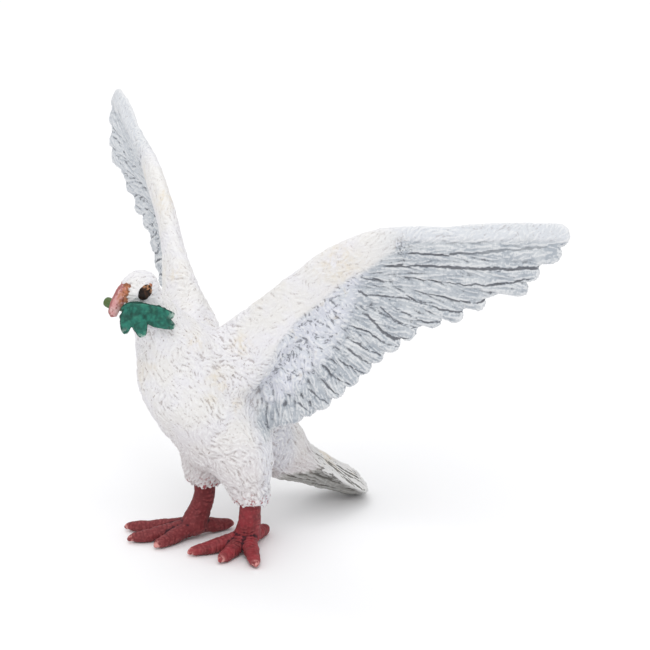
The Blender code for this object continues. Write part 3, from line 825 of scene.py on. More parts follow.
def hem_points():
    """Where the ragged tufts hang round the bottom of each thigh."""
    chance = np.random.default_rng(21)
    points = []
    ways = []
    for thigh in THIGHS:
        for row, (count, radius, rise) in enumerate(HEM_ROWS):
            for k in range(count):
                angle = 2 * math.pi * (k + 0.5 * row) / count + chance.uniform(-0.12, 0.12)
                out = np.array([math.cos(angle), math.sin(angle), 0.0])
                points.append(thigh[2] + out * radius + (0, 0, rise + chance.uniform(-0.3, 0.3)))
                ways.append(unit(out * 0.35 - UP))
    mesh = bpy.data.meshes.new("hem_points")
    mesh.from_pydata([tuple(p) for p in points], [], [])
    note_ways(mesh, ways)
    return mesh


def add_thigh(clay, thigh):
    top, middle, low = [np.array(p, float) for p in thigh[:3]]
    big = thigh[3]
    keys = []
    for share, rise, wide, deep, grows in THIGH:
        at = top + (middle - top) * share if share <= 1.0 else middle + (low - middle) * (share - 1.0)
        size = big if grows else 1.0
        keys.append((*(at + (0, 0, rise)), wide * size, deep * size))
    rows = smooth_rows(keys, 18)
    clay.tube(rows[:, :3], (1, 0, 0), rows[:, 3:5], 18)


def add_tail_core(clay):
    rings = []
    for y, top, edge, low, half in smooth_rows(TAIL, 18):
        ring = []
        for k in range(16):
            angle = 2 * math.pi * k / 16
            c = math.cos(angle)
            s = math.sin(angle)
            wide = half * math.copysign(abs(c) ** 0.9, c)
            if s >= 0:
                z = edge + (top - edge) * s ** 1.1
            else:
                z = edge - (edge - low) * abs(s) ** 0.9
                wide *= 0.8
            ring.append(np.array([TAIL_X + wide, y - 0.15 * (z - edge), z]))
        rings.append(ring[::-1])
    clay.add_rings(rings)


def lattice(points, cell, seed):
    """Smooth noise from -1 to 1, fixed in space."""
    at = points / cell + seed * 17.31
    low = np.floor(at)
    part = at - low
    part = part * part * (3.0 - 2.0 * part)
    low = low.astype(np.int64)
    total = np.zeros(len(points))
    for corner in range(8):
        dx = corner & 1
        dy = (corner >> 1) & 1
        dz = (corner >> 2) & 1
        key = (low[:, 0] + dx) * 73856093 ^ (low[:, 1] + dy) * 19349663 ^ (low[:, 2] + dz) * 83492791
        key = (key ^ (key >> 13)) * 1274126177 & 0xFFFFFFF
        value = ((key ^ (key >> 11)) & 0xFFFF) / 32767.5 - 1.0
        weight = np.where(dx, part[:, 0], 1 - part[:, 0])
        weight = weight * np.where(dy, part[:, 1], 1 - part[:, 1])
        weight = weight * np.where(dz, part[:, 2], 1 - part[:, 2])
        total += weight * value
    return total


def combed(points, flow, cell, length, seed, samples=11):
    """Noise drawn out into strokes along the flow, with about unit spread."""
    total = np.zeros(len(points))
    for s in np.linspace(-0.5, 0.5, samples):
        total += lattice(points + flow * (s * length), cell, seed)
    return total / max(total.std(), 1e-6)


def turned(flow, normals, angle):
    """The flow turned about the normals by an angle for each point."""
    side = np.cross(normals, flow)
    return flow * np.cos(angle)[:, None] + side * np.sin(angle)[:, None]


def wing_place(points):
    """Where points lie in the plane of their wing: p along it, q up, n behind it."""
    a = math.radians(WING_AZIMUTH)
    x = np.abs(points[:, 0])
    p = x * math.cos(a) + points[:, 1] * math.sin(a)
    q = points[:, 2]
    n = -x * math.sin(a) + points[:, 1] * math.cos(a) - camber(p, q)
    return p, q, n


def feather_place(p, q):
    """The long feather that each wing point is on: number, along and across it, and its direction."""
    best = np.full(len(p), 99.0)
    number, along, across = np.zeros((3, len(p)))
    way = np.zeros((len(p), 2))
    for k in range(1, FLIGHT_COUNT + 1):
        tip, base, _, bow = flight_feather(k)
        length = np.linalg.norm(tip - base)
        d = (tip - base) / length
        u = (p - base[0]) * d[0] + (q - base[1]) * d[1]
        t = np.clip(u / length, 0.0, 1.0)
        v = (q - base[1]) * d[0] - (p - base[0]) * d[1] - bow * 4 * t * (1 - t)
        gap = np.hypot(v, np.maximum(u - length, 0.0) + np.maximum(-u - 6.0, 0.0))
        nearer = gap < best
        best = np.where(nearer, gap, best)
        number = np.where(nearer, k, number)
        along = np.where(nearer, u, along)
        across = np.where(nearer, v, across)
        way[nearer] = d
    return number, along, across, way


def core_mask(points):
    """The smooth parts, whose hollow corners are filled: body, neck and arms."""
    p, q, _ = wing_place(points)
    soft = q > column(COVERT_LINE, p, 1) - 5.0
    soft |= p < COVERT_LINE[0][0] + 3.0
    soft &= (p < 33.0) & (points[:, 2] > 9.6)
    return soft & ~((points[:, 1] > 13.0) & (points[:, 2] < 17.0))


def smooth_core():
    """Body, head, arms, thighs and tail as one smooth skin."""
    clay = Clay()
    add_body(clay)
    add_head(clay)
    for side in (1, -1):
        add_wing_core(clay, side)
    add_tail_core(clay)
    for thigh in THIGHS:
        add_thigh(clay, thigh)
    mesh = fused(clay, CORE_VOXEL, 0)
    soft = core_mask(read_points(mesh))
    fill_creases(mesh, soft.astype(float), 90)
    relax(mesh, np.where(soft, 0.95, 0.2), 24)
    return mesh


def plumage_skin(voxel):
    """The smooth skin with all its feathers, fused into one."""
    clay = Clay()
    add_mesh(clay, smooth_core())
    blades = blade_tree()
    rows = []
    for side in (1, -1):
        rows += [(flight_lines(side), 0.29, 14), (covert_lines(side), 0.42, 10)]
    rows.append((tail_lines(), 0.42, 12))
    for lines, thinness, sides in rows:
        add_mesh(clay, grown(blades, quill_mesh(lines), Thinness=thinness, Sides=sides))
    add_mesh(clay, grown(tuft_tree(), hem_points(), Length=0.95, Width=0.36))
    return fused(clay, voxel, 3)


def plumage_flow(points, normals):
    """Which way the plumage lies at each point, and which part of the bird that is."""
    p, q, n = wing_place(points)
    x, y, z = points.T
    covert = column(COVERT_LINE, p, 1)
    blade = step(p, 8.2, 10.0) * step(q, 18.5, 20.0) * (1.0 - step(np.abs(n), 3.0, 4.2))
    blade *= step(y, 1.5, 3.0)
    inner = 1.0 - step(q - covert, -0.6, 0.8)
    outer = 1.0 - step(q - (55.6 + (p - 33.5) * 0.1), 0.0, 1.2)
    feathers = blade * np.where(p < 33.5, inner, outer)
    arm = step(p, 6.0, 12.0) * step(q - covert, -1.0, 1.0) * (np.abs(n) < 5.0) * (z > 26)
    tail = step(y, 12.0, 15.0) * (1.0 - step(z, 17.5, 20.0)) * (1 - blade)
    head = step(z, 43.0, 45.5) * (np.abs(x) < 6) * (y < -8)
    number, along, across, way = feather_place(p, q)
    a = math.radians(WING_AZIMUTH)
    one = np.ones(len(x))
    out = np.stack([np.sign(x) * math.cos(a), one * math.sin(a), 0.0 * one], axis=1)
    arm_way = out * 0.85 + UP * 0.5
    tail_way = np.stack([0.10 * (x - TAIL_X), one, -0.72 * one], axis=1)
    head_way = points - in_head(4.4, 0.0, -0.5)
    vane = out * way[:, :1] + UP * way[:, 1:]
    flow = unit_rows(np.stack([0.06 * x, 0.25 + 0.02 * z, -one], axis=1))
    for weight, other in ((arm, arm_way), (tail, tail_way), (head, head_way), (feathers, vane)):
        flow = flow * (1.0 - weight[:, None]) + unit_rows(other) * weight[:, None]
    flow -= normals * dots(flow, normals)[:, None]
    return unit_rows(flow), dict(feathers=feathers, arm=arm, tail=tail, blade=blade, p=p, q=q,
                                 along=along, across=across, number=number)


# warm patches in the white: x, y, z, radius
CREAM_SPOTS = (
    (7.9, -4.8, 31.5, 1.4), (8.2, -3.9, 29.8, 1.2), (8.0, -6.0, 27.8, 0.9), (8.7, -1.4, 26.2, 1.2),
    (9.2, -0.7, 36.2, 1.8), (6.0, -7.2, 37.6, 1.6), (22.5, 7.6, 51.4, 3.4), (-19.5, 7.9, 52.6, 2.6),
    (-10.6, 2.4, 42.4, 1.4), (13.4, 5.8, 29.0, 1.2), (17.0, 7.2, 34.6, 1.2),
)
# a rough patch where the arm ends, in wing places: p, q, 0, radius
RAGGED_SPOT = (34.4, 55.4, 0.0, 2.2)
# brown and orange smears by the beak and the eye, in the head's own directions: forward, side, up, radius
RUST_SPOTS = (
    (2.95, 1.25, 0.3, 0.85), (2.7, 1.0, 1.2, 0.75), (3.1, 1.2, -0.9, 0.85), (2.2, 1.45, 1.3, 0.40),
    (-1.0, 2.35, 1.45, 0.42),
)
# grey crescent behind the eye
CRESCENT = (-1.85, 2.25, 0.35, 0.42)
# lower edge of the flank feathers beside the tail: y, z
FLANK_HEM = ((10.0, 9.2), (13.0, 8.9), (19.0, 7.9), (22.0, 9.5))


def near_spots(points, spots):
    """How near each point is to any of some round spots, from 0 to 1."""
    share = np.zeros(len(points))
    for x, y, z, radius in spots:
        gap = np.linalg.norm(points - (x, y, z), axis=1)
        share = np.maximum(share, np.exp(-(gap / radius) ** 2))
    return share


def head_frame(points):
    """Places in the head's own directions, both sides folded onto one."""
    forward, left, up = head_axes()
    at = points - HEAD
    return np.stack([at @ forward, np.abs(at @ left), at @ up], axis=1)


def start_carving(mesh, times=2):
    """Neighbours, points and softened normals of a mesh."""
    links = neighbours(mesh)
    return links, read_points(mesh), unit_rows(spread(read_normals(mesh), links, times))


def lattices(points, *layers):
    """Layers of smooth noise added up, each with its strength, cell and seed."""
    return sum(strength * lattice(points, cell, seed) for strength, cell, seed in layers)


def gathering(points, normals, links, ridge_size, hollow_size, near_times=6, wide_times=30):
    """Ridges stand out of the skin close by, and hollows lie below the skin round them."""
    near = spread(points, links, near_times)
    wide = spread(near, links, wide_times)
    ridge = np.clip(dots(points - near, normals) / ridge_size, -1.0, 1.0) * 0.5 + 0.5
    return dict(ridge=ridge, hollow=np.clip(-dots(near - wide, normals) / hollow_size, 0.0, 1.0))


def carve_plumage(mesh, depth, barb_depth):
    """Move the skin's points to carve strokes, vanes and barbs, and note where paint gathers and where shade
    is painted low on the body and under the tail.
    """
    links, points, normals = start_carving(mesh, 3)
    flow, part = plumage_flow(points, normals)
    feathers, arm, tail, blade, p = [part[name] for name in ("feathers", "arm", "tail", "blade", "p")]
    body = 1.0 - feathers
    x, y, z = points.T
    # feather vanes: the barbs slant away from each quill, on both sides of it
    slant = np.where(part["across"] > 0, 1.0, -1.0) * np.sign(x) * np.sign(normals[:, 1] - 1e-9)
    covert = feathers * (1.0 - step(part["along"], -0.5, 2.5)) * (p < 36.0)
    turn = lattices(points, (0.9, 4.0, 3), (1.25, 1.5, 4)) * body
    turn += feathers * (0.14 * slant + 0.22 * lattice(points, 1.6, 5))
    turn += covert * 1.6 * lattice(points, 1.9, 6)
    turn *= 1.0 - 0.85 * tail
    lie = turned(flow, normals, turn)
    coarse = combed(points, lie, 0.36, 1.0, 7, 7)
    fine = combed(points, lie, 0.22, 0.8, 9, 7)
    long_combed = combed(points, lie, 0.30, 2.6, 8, 9)
    lumps = lattices(points, (1.0, 2.4, 12), (0.5, 1.1, 13))
    worn = 0.45 + 0.55 * step(lattices(points, (1.0, 3.6, 14), (0.5, 1.5, 16)), -0.35, 0.45)
    calm = 1.0 - 0.45 * arm
    strokes = (0.40 * coarse + 0.75 * fine) * (1.0 - tail) + 1.1 * long_combed * tail
    height = depth * body * (strokes * worn * calm + 0.50 * lumps)
    height *= step(np.linalg.norm(head_frame(points) - EYE, axis=1), 1.0, 1.7)
    flank = step(x, 2.0, 4.0) * step(y, -0.5, 2.5) * (1.0 - step(z, 33.0, 37.0)) * body * (1.0 - tail)
    # grooves between the long feathers, shallower on the outer part of the right wing
    wander_p = lattices(points, (0.16, 1.5, 17), (0.12, 0.6, 18))
    wander_q = lattices(points, (0.16, 1.5, 27), (0.12, 0.6, 28))
    groove = groove_depth(p + wander_p, part["q"] + wander_q, lattice(points, 2.2, 29))
    groove *= feathers * (1.0 - 0.6 * step(-x, 27.0, 35.0))
    height += barb_depth * feathers * (1.0 - covert) * (0.9 * long_combed + 0.3 * fine)
    height += covert * 0.22 * (lattices(points, (1.0, 1.3, 19), (0.6, 0.65, 20)) + 0.20 * fine)
    ragged = near_spots(np.stack([p, part["q"], np.zeros(len(p))], axis=1), [RAGGED_SPOT]) * blade
    height += ragged * 0.09 * lattices(points, (1.0, 0.55, 23), (1.0, 0.9, 24))
    height *= 1.0 + 0.5 * flank
    height -= (0.20 + 0.05 * lattice(points, 1.3, 25)) * groove * step(p, 9.0, 12.0)
    points = points + normals * np.clip(height, -0.35, 0.30)[:, None]
    points[:, 2] = np.maximum(points[:, 2], 0.0)
    write_points(mesh, points)
    relax(mesh, 0.35, 1)
    _, points, normals = start_carving(mesh, 6)
    x, y, z = points.T
    # white flank feathers hang over the root of the tail
    hem = column(FLANK_HEM, y, 1) + 0.5 * lattice(points, 1.2, 26)
    over = step(z - hem, -0.3, 0.5) * (1.0 - step(y, 18.0, 21.0))
    place = head_frame(points)
    in_head_only = step(z, 41.5, 43.0)
    thigh_ends = [1.0 - step(np.linalg.norm(points - thigh[2], axis=1), 2.6, 4.2) for thigh in THIGHS]
    note(
        mesh,
        **gathering(points, normals, links, 0.05, 0.16, 8, 40),
        vane_u=part["along"] - 0.18 * np.abs(part["across"]),
        vane_v=part["across"] + part["number"] * 7.0,
        strokes=np.clip(0.5 + 0.22 * fine, 0.0, 1.0),
        streaks=np.clip(0.5 + 0.22 * long_combed, 0.0, 1.0),
        lead=blade * body * step(p, 28.0, 37.0),
        pale=feathers * step(-x, 26.0, 36.0),
        ragged=ragged,
        root=feathers * (1.0 - step(p, 10.0, 17.0)),
        cream=near_spots(points, CREAM_SPOTS),
        flank=flank,
        # low: greyer white towards the bottom of the body, painted shade
        low=1.0 - step(z + 0.25 * y, 13.0, 25.0),
        # the underside of the tail, which is darkened as painted shade
        under=tail * step(column(TAIL, y, 2) - z, 0.0, 0.9) * step(z, 0.0, 0.1) * (1.0 - over),
        rust=near_spots(place, RUST_SPOTS) * in_head_only,
        crescent=near_spots(place, [CRESCENT]) * in_head_only,
        hem=np.maximum(*thigh_ends),
        groove=np.clip(groove, 0.0, 1.0),
        feathers=feathers,
        covert=covert,
        tail=tail * (1.0 - over),
        arm=arm,
    )


def cut_out(name, mesh, keep, normals):
    """A piece of a mesh of four-sided faces: the faces to keep, shaded as the whole is."""
    loops = np.empty(len(mesh.loops), np.int64)
    mesh.loops.foreach_get("vertex_index", loops)
    corners = loops.reshape(-1, 4)[keep]
    used, faces = np.unique(corners, return_inverse=True)
    piece = bpy.data.meshes.new(name)
    points = (read_points(mesh)[used] - MIDDLE) * MILLIMETRE
    piece.from_pydata(points, [], faces.reshape(-1, 4).tolist())
    for layer in mesh.attributes:
        if layer.data_type == "FLOAT" and layer.domain == "POINT":
            values = np.empty(len(mesh.vertices), np.float32)
            layer.data.foreach_get("value", values)
            note(piece, **{layer.name: values[used]})
    piece.polygons.foreach_set("use_smooth", [True] * len(piece.polygons))
    piece.normals_split_custom_set_from_vertices([tuple(v) for v in normals[used]])
    piece.update()
    return in_scene(name, piece)


# lines between the long feathers: depth, half width, then p, q from root to tip
GROOVES = [
    (0.45, 0.13, ((36.8, 56.9), (44.0, 56.7), (51.6, 58.0), (54.8, 58.7))),
    (0.95, 0.15, ((34.5, 54.1), (41.7, 54.5), (49.1, 55.9), (58.7, 57.9))),
    (1.00, 0.24, ((30.8, 51.3), (37.2, 52.0), (46.7, 52.9), (58.2, 54.6))),
    (0.90, 0.16, ((33.8, 49.6), (43.9, 49.9), (48.8, 50.6), (56.4, 52.7))),
    (0.85, 0.15, ((34.3, 47.8), (40.4, 47.2), (46.0, 47.2), (49.5, 48.2))),
    (0.85, 0.15, ((33.6, 47.1), (36.3, 46.0), (41.1, 45.2), (45.2, 45.3))),
    (0.80, 0.14, ((31.4, 45.5), (33.0, 44.3), (37.7, 42.6), (41.0, 43.1))),
    (0.80, 0.14, ((31.5, 43.0), (33.6, 42.0), (38.2, 41.2))),
    (1.00, 0.20, ((26.4, 42.7), (28.2, 42.4), (30.8, 39.9), (32.7, 39.2), (35.9, 39.7))),
    (0.95, 0.17, ((24.2, 40.8), (28.1, 39.8), (31.2, 38.2), (34.0, 37.9))),
    (0.85, 0.15, ((24.2, 38.7), (27.5, 37.1), (31.3, 35.8))),
    (0.85, 0.15, ((24.2, 37.1), (25.6, 35.9), (29.3, 34.0))),
    (0.85, 0.16, ((22.4, 35.4), (23.8, 34.2), (28.0, 32.3))),
    (0.80, 0.15, ((20.0, 34.0), (22.5, 31.4), (26.0, 30.2))),
    (0.75, 0.14, ((19.8, 30.9), (21.2, 29.6), (24.0, 28.0))),
    (0.70, 0.14, ((17.1, 29.5), (18.8, 28.3), (21.4, 26.4))),
    (0.70, 0.15, ((14.1, 33.1), (14.6, 31.6), (17.2, 30.6))),
    (0.70, 0.14, ((14.9, 27.0), (18.6, 24.4))),
    (0.80, 0.15, ((26.1, 47.6), (26.9, 46.6), (28.1, 45.9), (33.3, 46.1), (37.0, 45.9))),
    (0.75, 0.14, ((26.3, 49.7), (28.0, 49.1), (32.3, 48.3))),
    (0.75, 0.14, ((31.3, 44.6), (33.0, 43.9), (37.0, 43.6))),
    (0.80, 0.15, ((29.4, 44.7), (33.3, 41.8), (35.7, 41.3))),
]


def groove_depth(p, q, worn):
    """How deep each wing point lies in the line between two feathers, from 0 to 1."""
    total = np.zeros(len(p))
    for depth, half, line in GROOVES:
        line = np.array(line)
        best = np.full(len(p), 99.0)
        run = np.zeros(len(p))
        gone = 0.0
        for a, b in zip(line[:-1], line[1:]):
            d = b - a
            length = np.linalg.norm(d)
            t = np.clip(((p - a[0]) * d[0] + (q - a[1]) * d[1]) / length ** 2, 0.0, 1.0)
            gap = np.hypot(p - a[0] - t * d[0], q - a[1] - t * d[1])
            nearer = gap < best
            run = np.where(nearer, gone + t * length, run)
            best = np.where(nearer, gap, best)
            gone += length
        ends = step(run, -0.2, 2.0) * (1.0 - 0.5 * step(run, gone - 2.5, gone))
        width = half * (1.12 + 0.45 * worn)
        total = np.maximum(total, depth * ends * np.exp(-(best / width) ** 2))
    return total


def leg_clay(leg):
    """One leg: a shank that widens into the foot, and toes with knuckles and blunt claws."""
    clay = Clay()
    x, y = leg["top"]
    bx, by = leg["base"]
    shank = 1.7
    rows = smooth_rows([
        (x, y, 10.5, shank, shank * 1.03),
        (x * 0.9 + bx * 0.1, y, 7.2, shank, shank * 1.05),
        (x * 0.6 + bx * 0.4, y * 0.6 + by * 0.4, 4.8, shank * 1.04, shank * 1.12),
        (x * 0.2 + bx * 0.8, y * 0.2 + by * 0.8, 3.2, shank * 1.2, shank * 1.28),
        (bx, by, 2.0, shank * 1.32, shank * 1.38),
        (bx, by, 1.3, shank * 1.10, shank * 1.15),
        (bx, by, 0.6, shank * 0.60, shank * 0.62),
    ], 22)
    clay.tube(rows[:, :3], (1, 0, 0), rows[:, 3:5], 20)
    for toe in leg["toes"] + (leg["hind"],):
        end = np.array([toe[0], toe[1], 0.7])
        root = np.array([bx, by, 1.95])
        flat = unit((end - root) * (1, 1, 0))
        knob = []
        for t, size, high in KNUCKLES:
            at = root + (end - root) * t
            at[2] = root[2] + (0.95 - root[2]) * min(1.0, t * 1.4) + high * 0.4
            knob.append((*at, size, size * 0.92))
        rows = smooth_rows(knob, 24)
        clay.tube(rows[:, :3], np.cross(UP, flat), rows[:, 3:5], 16)
        claw = end + UP * 0.05 - flat * 0.35
        clay.ball(claw, (flat, np.cross(UP, flat), UP), (0.6, 0.42, 0.42), 12)
    return clay


def carve_eyes(mesh):
    """Rough the rims of the painted eyes and note where brown shows at their upper back."""
    _, points, normals = start_carving(mesh)
    points = points + normals * lattices(points, (0.05, 0.55, 61), (0.03, 0.3, 62))[:, None]
    write_points(mesh, points)
    ahead, _, high = (head_frame(points) - EYE).T
    note(mesh, rim=step(high * 0.8 - ahead * 0.6, 0.25, 0.85))


def carve_leg(mesh, leg, depth):
    """Rings of scutes round the shank and over the toes, smoother claw tips that carry a painted highlight,
    and the right leg noted for painted shade.
    """
    links, points, normals = start_carving(mesh)
    bx, by = leg["base"]
    flat = np.hypot(points[:, 0] - bx, points[:, 1] - by)
    shank = step(points[:, 2], 2.6, 4.2)
    run = np.where(shank > 0.5, points[:, 2], flat)
    wave = run + lattices(points, (0.45, 1.4, 31), (0.2, 0.6, 32))
    rings = np.clip(np.sin(wave * 2 * math.pi / SCUTE_GAP) * 1.6 + 0.9, -1.0, 0.6)
    rings *= np.clip(0.35 + 0.9 * lattice(points, 1.3, 33), 0.0, 1.0)
    skin = lattices(points, (1.0, 0.8, 34), (0.6, 0.35, 35))
    # toe tips: left smoother, and painted pale pink as a painted highlight
    tip = np.zeros(len(points))
    for toe in leg["toes"] + (leg["hind"],):
        end = np.array([*toe, 0.8])
        flat_way = unit((end - (bx, by, 0.8)) * (1, 1, 0))
        far = np.linalg.norm(points - end + flat_way * 0.05, axis=1)
        tip = np.maximum(tip, 1.0 - step(far, 0.55, 1.05))
    height = depth * (0.8 * rings + 0.7 * skin) * (1.0 - 0.8 * tip)
    points = points + normals * np.where(points[:, 2] < 0.25, 0.0, height)[:, None]
    points[:, 2] = np.maximum(points[:, 2], 0.0)
    write_points(mesh, points)
    # the right leg, farther from the light, is noted for painted shade
    dusky = np.full(len(points), 1.0 if bx < 0.0 else 0.0)
    note(mesh, **gathering(points, normals, links, 0.04, 0.12), tip=tip, dusky=dusky)


def finished(name, mesh, material, slot):
    """Bring a mesh to metres in its place, as one piece that stands for its node."""
    write_points(mesh, (read_points(mesh) - MIDDLE) * MILLIMETRE)
    mesh.polygons.foreach_set("use_smooth", [True] * len(mesh.polygons))
    dress(in_scene(name, mesh), material, slot)


def dress(thing, material, slot):
    thing.data.materials.clear()
    thing.data.materials.append(material)
    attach(thing, "root")
    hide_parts("olive_sprig" if slot == "painted_green" else "dove")


def beak_clay():
    clay = Clay()
    left = head_axes()[1]
    for keys in (BEAK_UPPER, BEAK_LOWER):
        rows = smooth_rows(keys, 18)
        centres = [in_head(f, 0, u) for f, u in rows[:, :2]]
        broad = 1.0 + 0.16 * np.linspace(0.5, 1.8, len(rows))
        clay.tube(centres, left, rows[:, 2:4] * broad[:, None], 16)
    return clay


def carve_beak(mesh):
    """Rough the beak, and more so its cheeks."""
    links, points, normals = start_carving(mesh)
    height = lattices(points, (0.045, 0.7, 41), (0.03, 0.35, 42))
    ahead, side, high = head_frame(points).T
    cheek = step(side, 0.55, 0.95) * (1.0 - step(ahead - 0.6 * high, 4.2, 5.4))
    height += cheek * 0.07 * lattice(points, 0.5, 43)
    points = points + normals * height[:, None]
    write_points(mesh, points)
    ridge = gathering(points, normals, links, 0.03, 1.0, 8, 0)["ridge"]
    note(mesh, ridge=ridge, cheek=cheek, rim=1.0 - step(side, 0.0, 0.9))


def carve_sprig(mesh):
    """Ripple the leaves, and note their edges, worn tips and stem."""
    links, points, normals = start_carving(mesh)
    leaf = step(points[:, 0], 0.6, 1.6)
    out = leaf_axes()[2]
    facing = np.abs(normals @ out)
    height = lattices(points, (0.20, 1.15, 51), (0.09, 0.5, 52)) * leaf * (0.3 + 0.7 * facing)
    points = points + normals * height[:, None]
    write_points(mesh, points)
    tips = [(*(tip + out * 0.1), 0.7) for _, tip, _ in leaf_lines()]
    edge = leaf * (1.0 - step(facing, 0.45, 0.95))
    note(mesh, **gathering(points, normals, links, 0.03, 0.10, 6, 40), edge=edge,
         worn=near_spots(points, tips), stem=1.0 - leaf)


class Paint(Nodes):
    """Nodes of a shader tree; the place is the Object coordinates."""

    def __init__(self, tree):
        super().__init__(tree)
        self.place = self.new("ShaderNodeTexCoord").outputs["Object"]

    def value_of(self, name):
        return self.new("ShaderNodeAttribute", attribute_name=name).outputs["Fac"]

    def maths(self, kind, *numbers, clamp=False):
        return self.out("ShaderNodeMath", dict(enumerate(numbers)), operation=kind, use_clamp=clamp)

    def times(self, a, b):
        return self.maths("MULTIPLY", a, b)

    def plus(self, a, b):
        """The sum, kept from 0 to 1."""
        return self.maths("ADD", a, b, clamp=True)

    def minus(self, a, b):
        return self.maths("SUBTRACT", a, b)

    def larger(self, a, b):
        return self.maths("MAXIMUM", a, b)

    def scaled(self, value, scale, shift, clamp=False):
        """The value times a scale, plus a shift."""
        return self.maths("MULTIPLY_ADD", value, scale, shift, clamp=clamp)

    def mix(self, share, a, b):
        return self.new("ShaderNodeMix", {0: share, 6: a, 7: b}, data_type="RGBA").outputs[2]

    def ramp(self, value, start, end):
        """0 at the start and 1 at the end, which may be the lower of the two."""
        rises = start < end
        inputs = {"Value": value, "From Min": min(start, end), "From Max": max(start, end),
                  "To Min": 0.0 if rises else 1.0, "To Max": 1.0 if rises else 0.0}
        return self.out("ShaderNodeMapRange", inputs, interpolation_type="SMOOTHSTEP")

    def noise(self, scale, detail=3.0, rough=0.5, place=None, distortion=0.0):
        inputs = {"Vector": self.place if place is None else place, "Scale": scale, "Detail": detail,
                  "Roughness": rough, "Distortion": distortion}
        return self.out("ShaderNodeTexNoise", inputs)

    def patches(self, scale, start, end, detail=3.0, rough=0.5):
        """Patches of noise, from 0 where it is at the start to 1 where it is at the end."""
        return self.ramp(self.noise(scale, detail, rough), start, end)


def scratches_group():
    """Short fine scratches that lie this way here and that way there, as a brush leaves them."""
    tree = node_group("fine_scratches", "ShaderNodeTree",
                      (("Fineness", "Float", 1.0),), (("Lines", "Float"),))
    n = Paint(tree)
    given = n.new("NodeGroupInput").outputs
    bend = n.new("ShaderNodeTexNoise", {"Vector": n.place, "Scale": 420.0}).outputs["Color"]
    bent = n.out("ShaderNodeVectorMath", {0: bend, 1: (0.0022, 0.0022, 0.0022), 2: n.place},
                 operation="MULTIPLY_ADD")
    finer = n.out("ShaderNodeVectorMath", {0: bent, "Scale": given["Fineness"]}, operation="SCALE")
    lines = []
    for turn in ((0.0, 0.2, 0.3), (0.9, 0.3, 1.2), (-0.7, 0.8, 2.1), (1.6, -0.4, 0.4)):
        inputs = {"Vector": finer, "Rotation": turn, "Scale": (0.00030, 0.00030, 0.0013)}
        way = n.out("ShaderNodeMapping", inputs, vector_type="TEXTURE")
        lines.append(n.noise(1.0, 2.0, 0.5, way))
    total = n.mix(n.patches(330.0, 0.44, 0.56, 1.0), lines[0], lines[1])
    total = n.mix(n.patches(290.0, 0.50, 0.60, 1.0), total, lines[2])
    total = n.mix(n.patches(370.0, 0.54, 0.62, 1.0), total, lines[3])
    n.new("NodeGroupOutput", {"Lines": total})
    return tree


def drybrush_group():
    """Brushed paint: a wash stays in the hollows and a lighter coat catches the ridges."""
    tree = node_group(
        "drybrushed_paint", "ShaderNodeTree",
        (("Base", "Color", (0.8, 0.8, 0.8, 1.0)), ("Wash", "Color", (0.1, 0.1, 0.1, 1.0)),
         ("Light", "Color", (1.0, 1.0, 1.0, 1.0)), ("Hollow", "Float", 0.0), ("Ridge", "Float", 0.5),
         ("Wash Strength", "Float", 0.6), ("Light Strength", "Float", 0.4), ("Grain", "Float", 2600.0)),
        (("Color", "Color"), ("Roughness", "Float"), ("Height", "Float")))
    n = Paint(tree)
    given = n.new("NodeGroupInput").outputs
    grain = n.noise(given["Grain"], 4.0)
    speck = n.minus(grain, 0.5)
    low = n.ramp(n.scaled(speck, 0.9, given["Hollow"], clamp=True), 0.12, 0.85)
    high = n.ramp(n.scaled(speck, 0.7, given["Ridge"], clamp=True), 0.52, 0.9)
    wash = n.maths("MULTIPLY", low, given["Wash Strength"], clamp=True)
    light = n.maths("MULTIPLY", high, given["Light Strength"], clamp=True)
    coat = n.mix(wash, n.mix(light, given["Base"], given["Light"]), given["Wash"])
    rough = n.scaled(speck, 0.35, 0.60, clamp=True)
    n.new("NodeGroupOutput", {"Color": coat, "Roughness": rough, "Height": grain})
    return tree


def new_material(name):
    material = bpy.data.materials.new(name)
    material.use_nodes = True
    return material, Paint(material.node_tree), material.node_tree.nodes["Principled BSDF"]


def brushed(n, base, wash, light, hollow, ridge, wash_strength, light_strength, grain):
    """Outputs of the shared group of brushed paint."""
    tree = bpy.data.node_groups.get("drybrushed_paint") or drybrush_group()
    inputs = {"Base": base, "Wash": wash, "Light": light, "Hollow": hollow, "Ridge": ridge,
              "Wash Strength": wash_strength, "Light Strength": light_strength, "Grain": grain}
    return n.new("ShaderNodeGroup", inputs, node_tree=tree).outputs


def finish_surface(n, shader, colour, rough, height, distance, shine=0.5):
    bump = n.out("ShaderNodeBump", {"Strength": 0.6, "Distance": distance, "Height": height})
    for name, value in (("Base Color", colour), ("Roughness", rough), ("Normal", bump)):
        n.put(shader.inputs[name], value)
    shader.inputs["Specular IOR Level"].default_value = shine


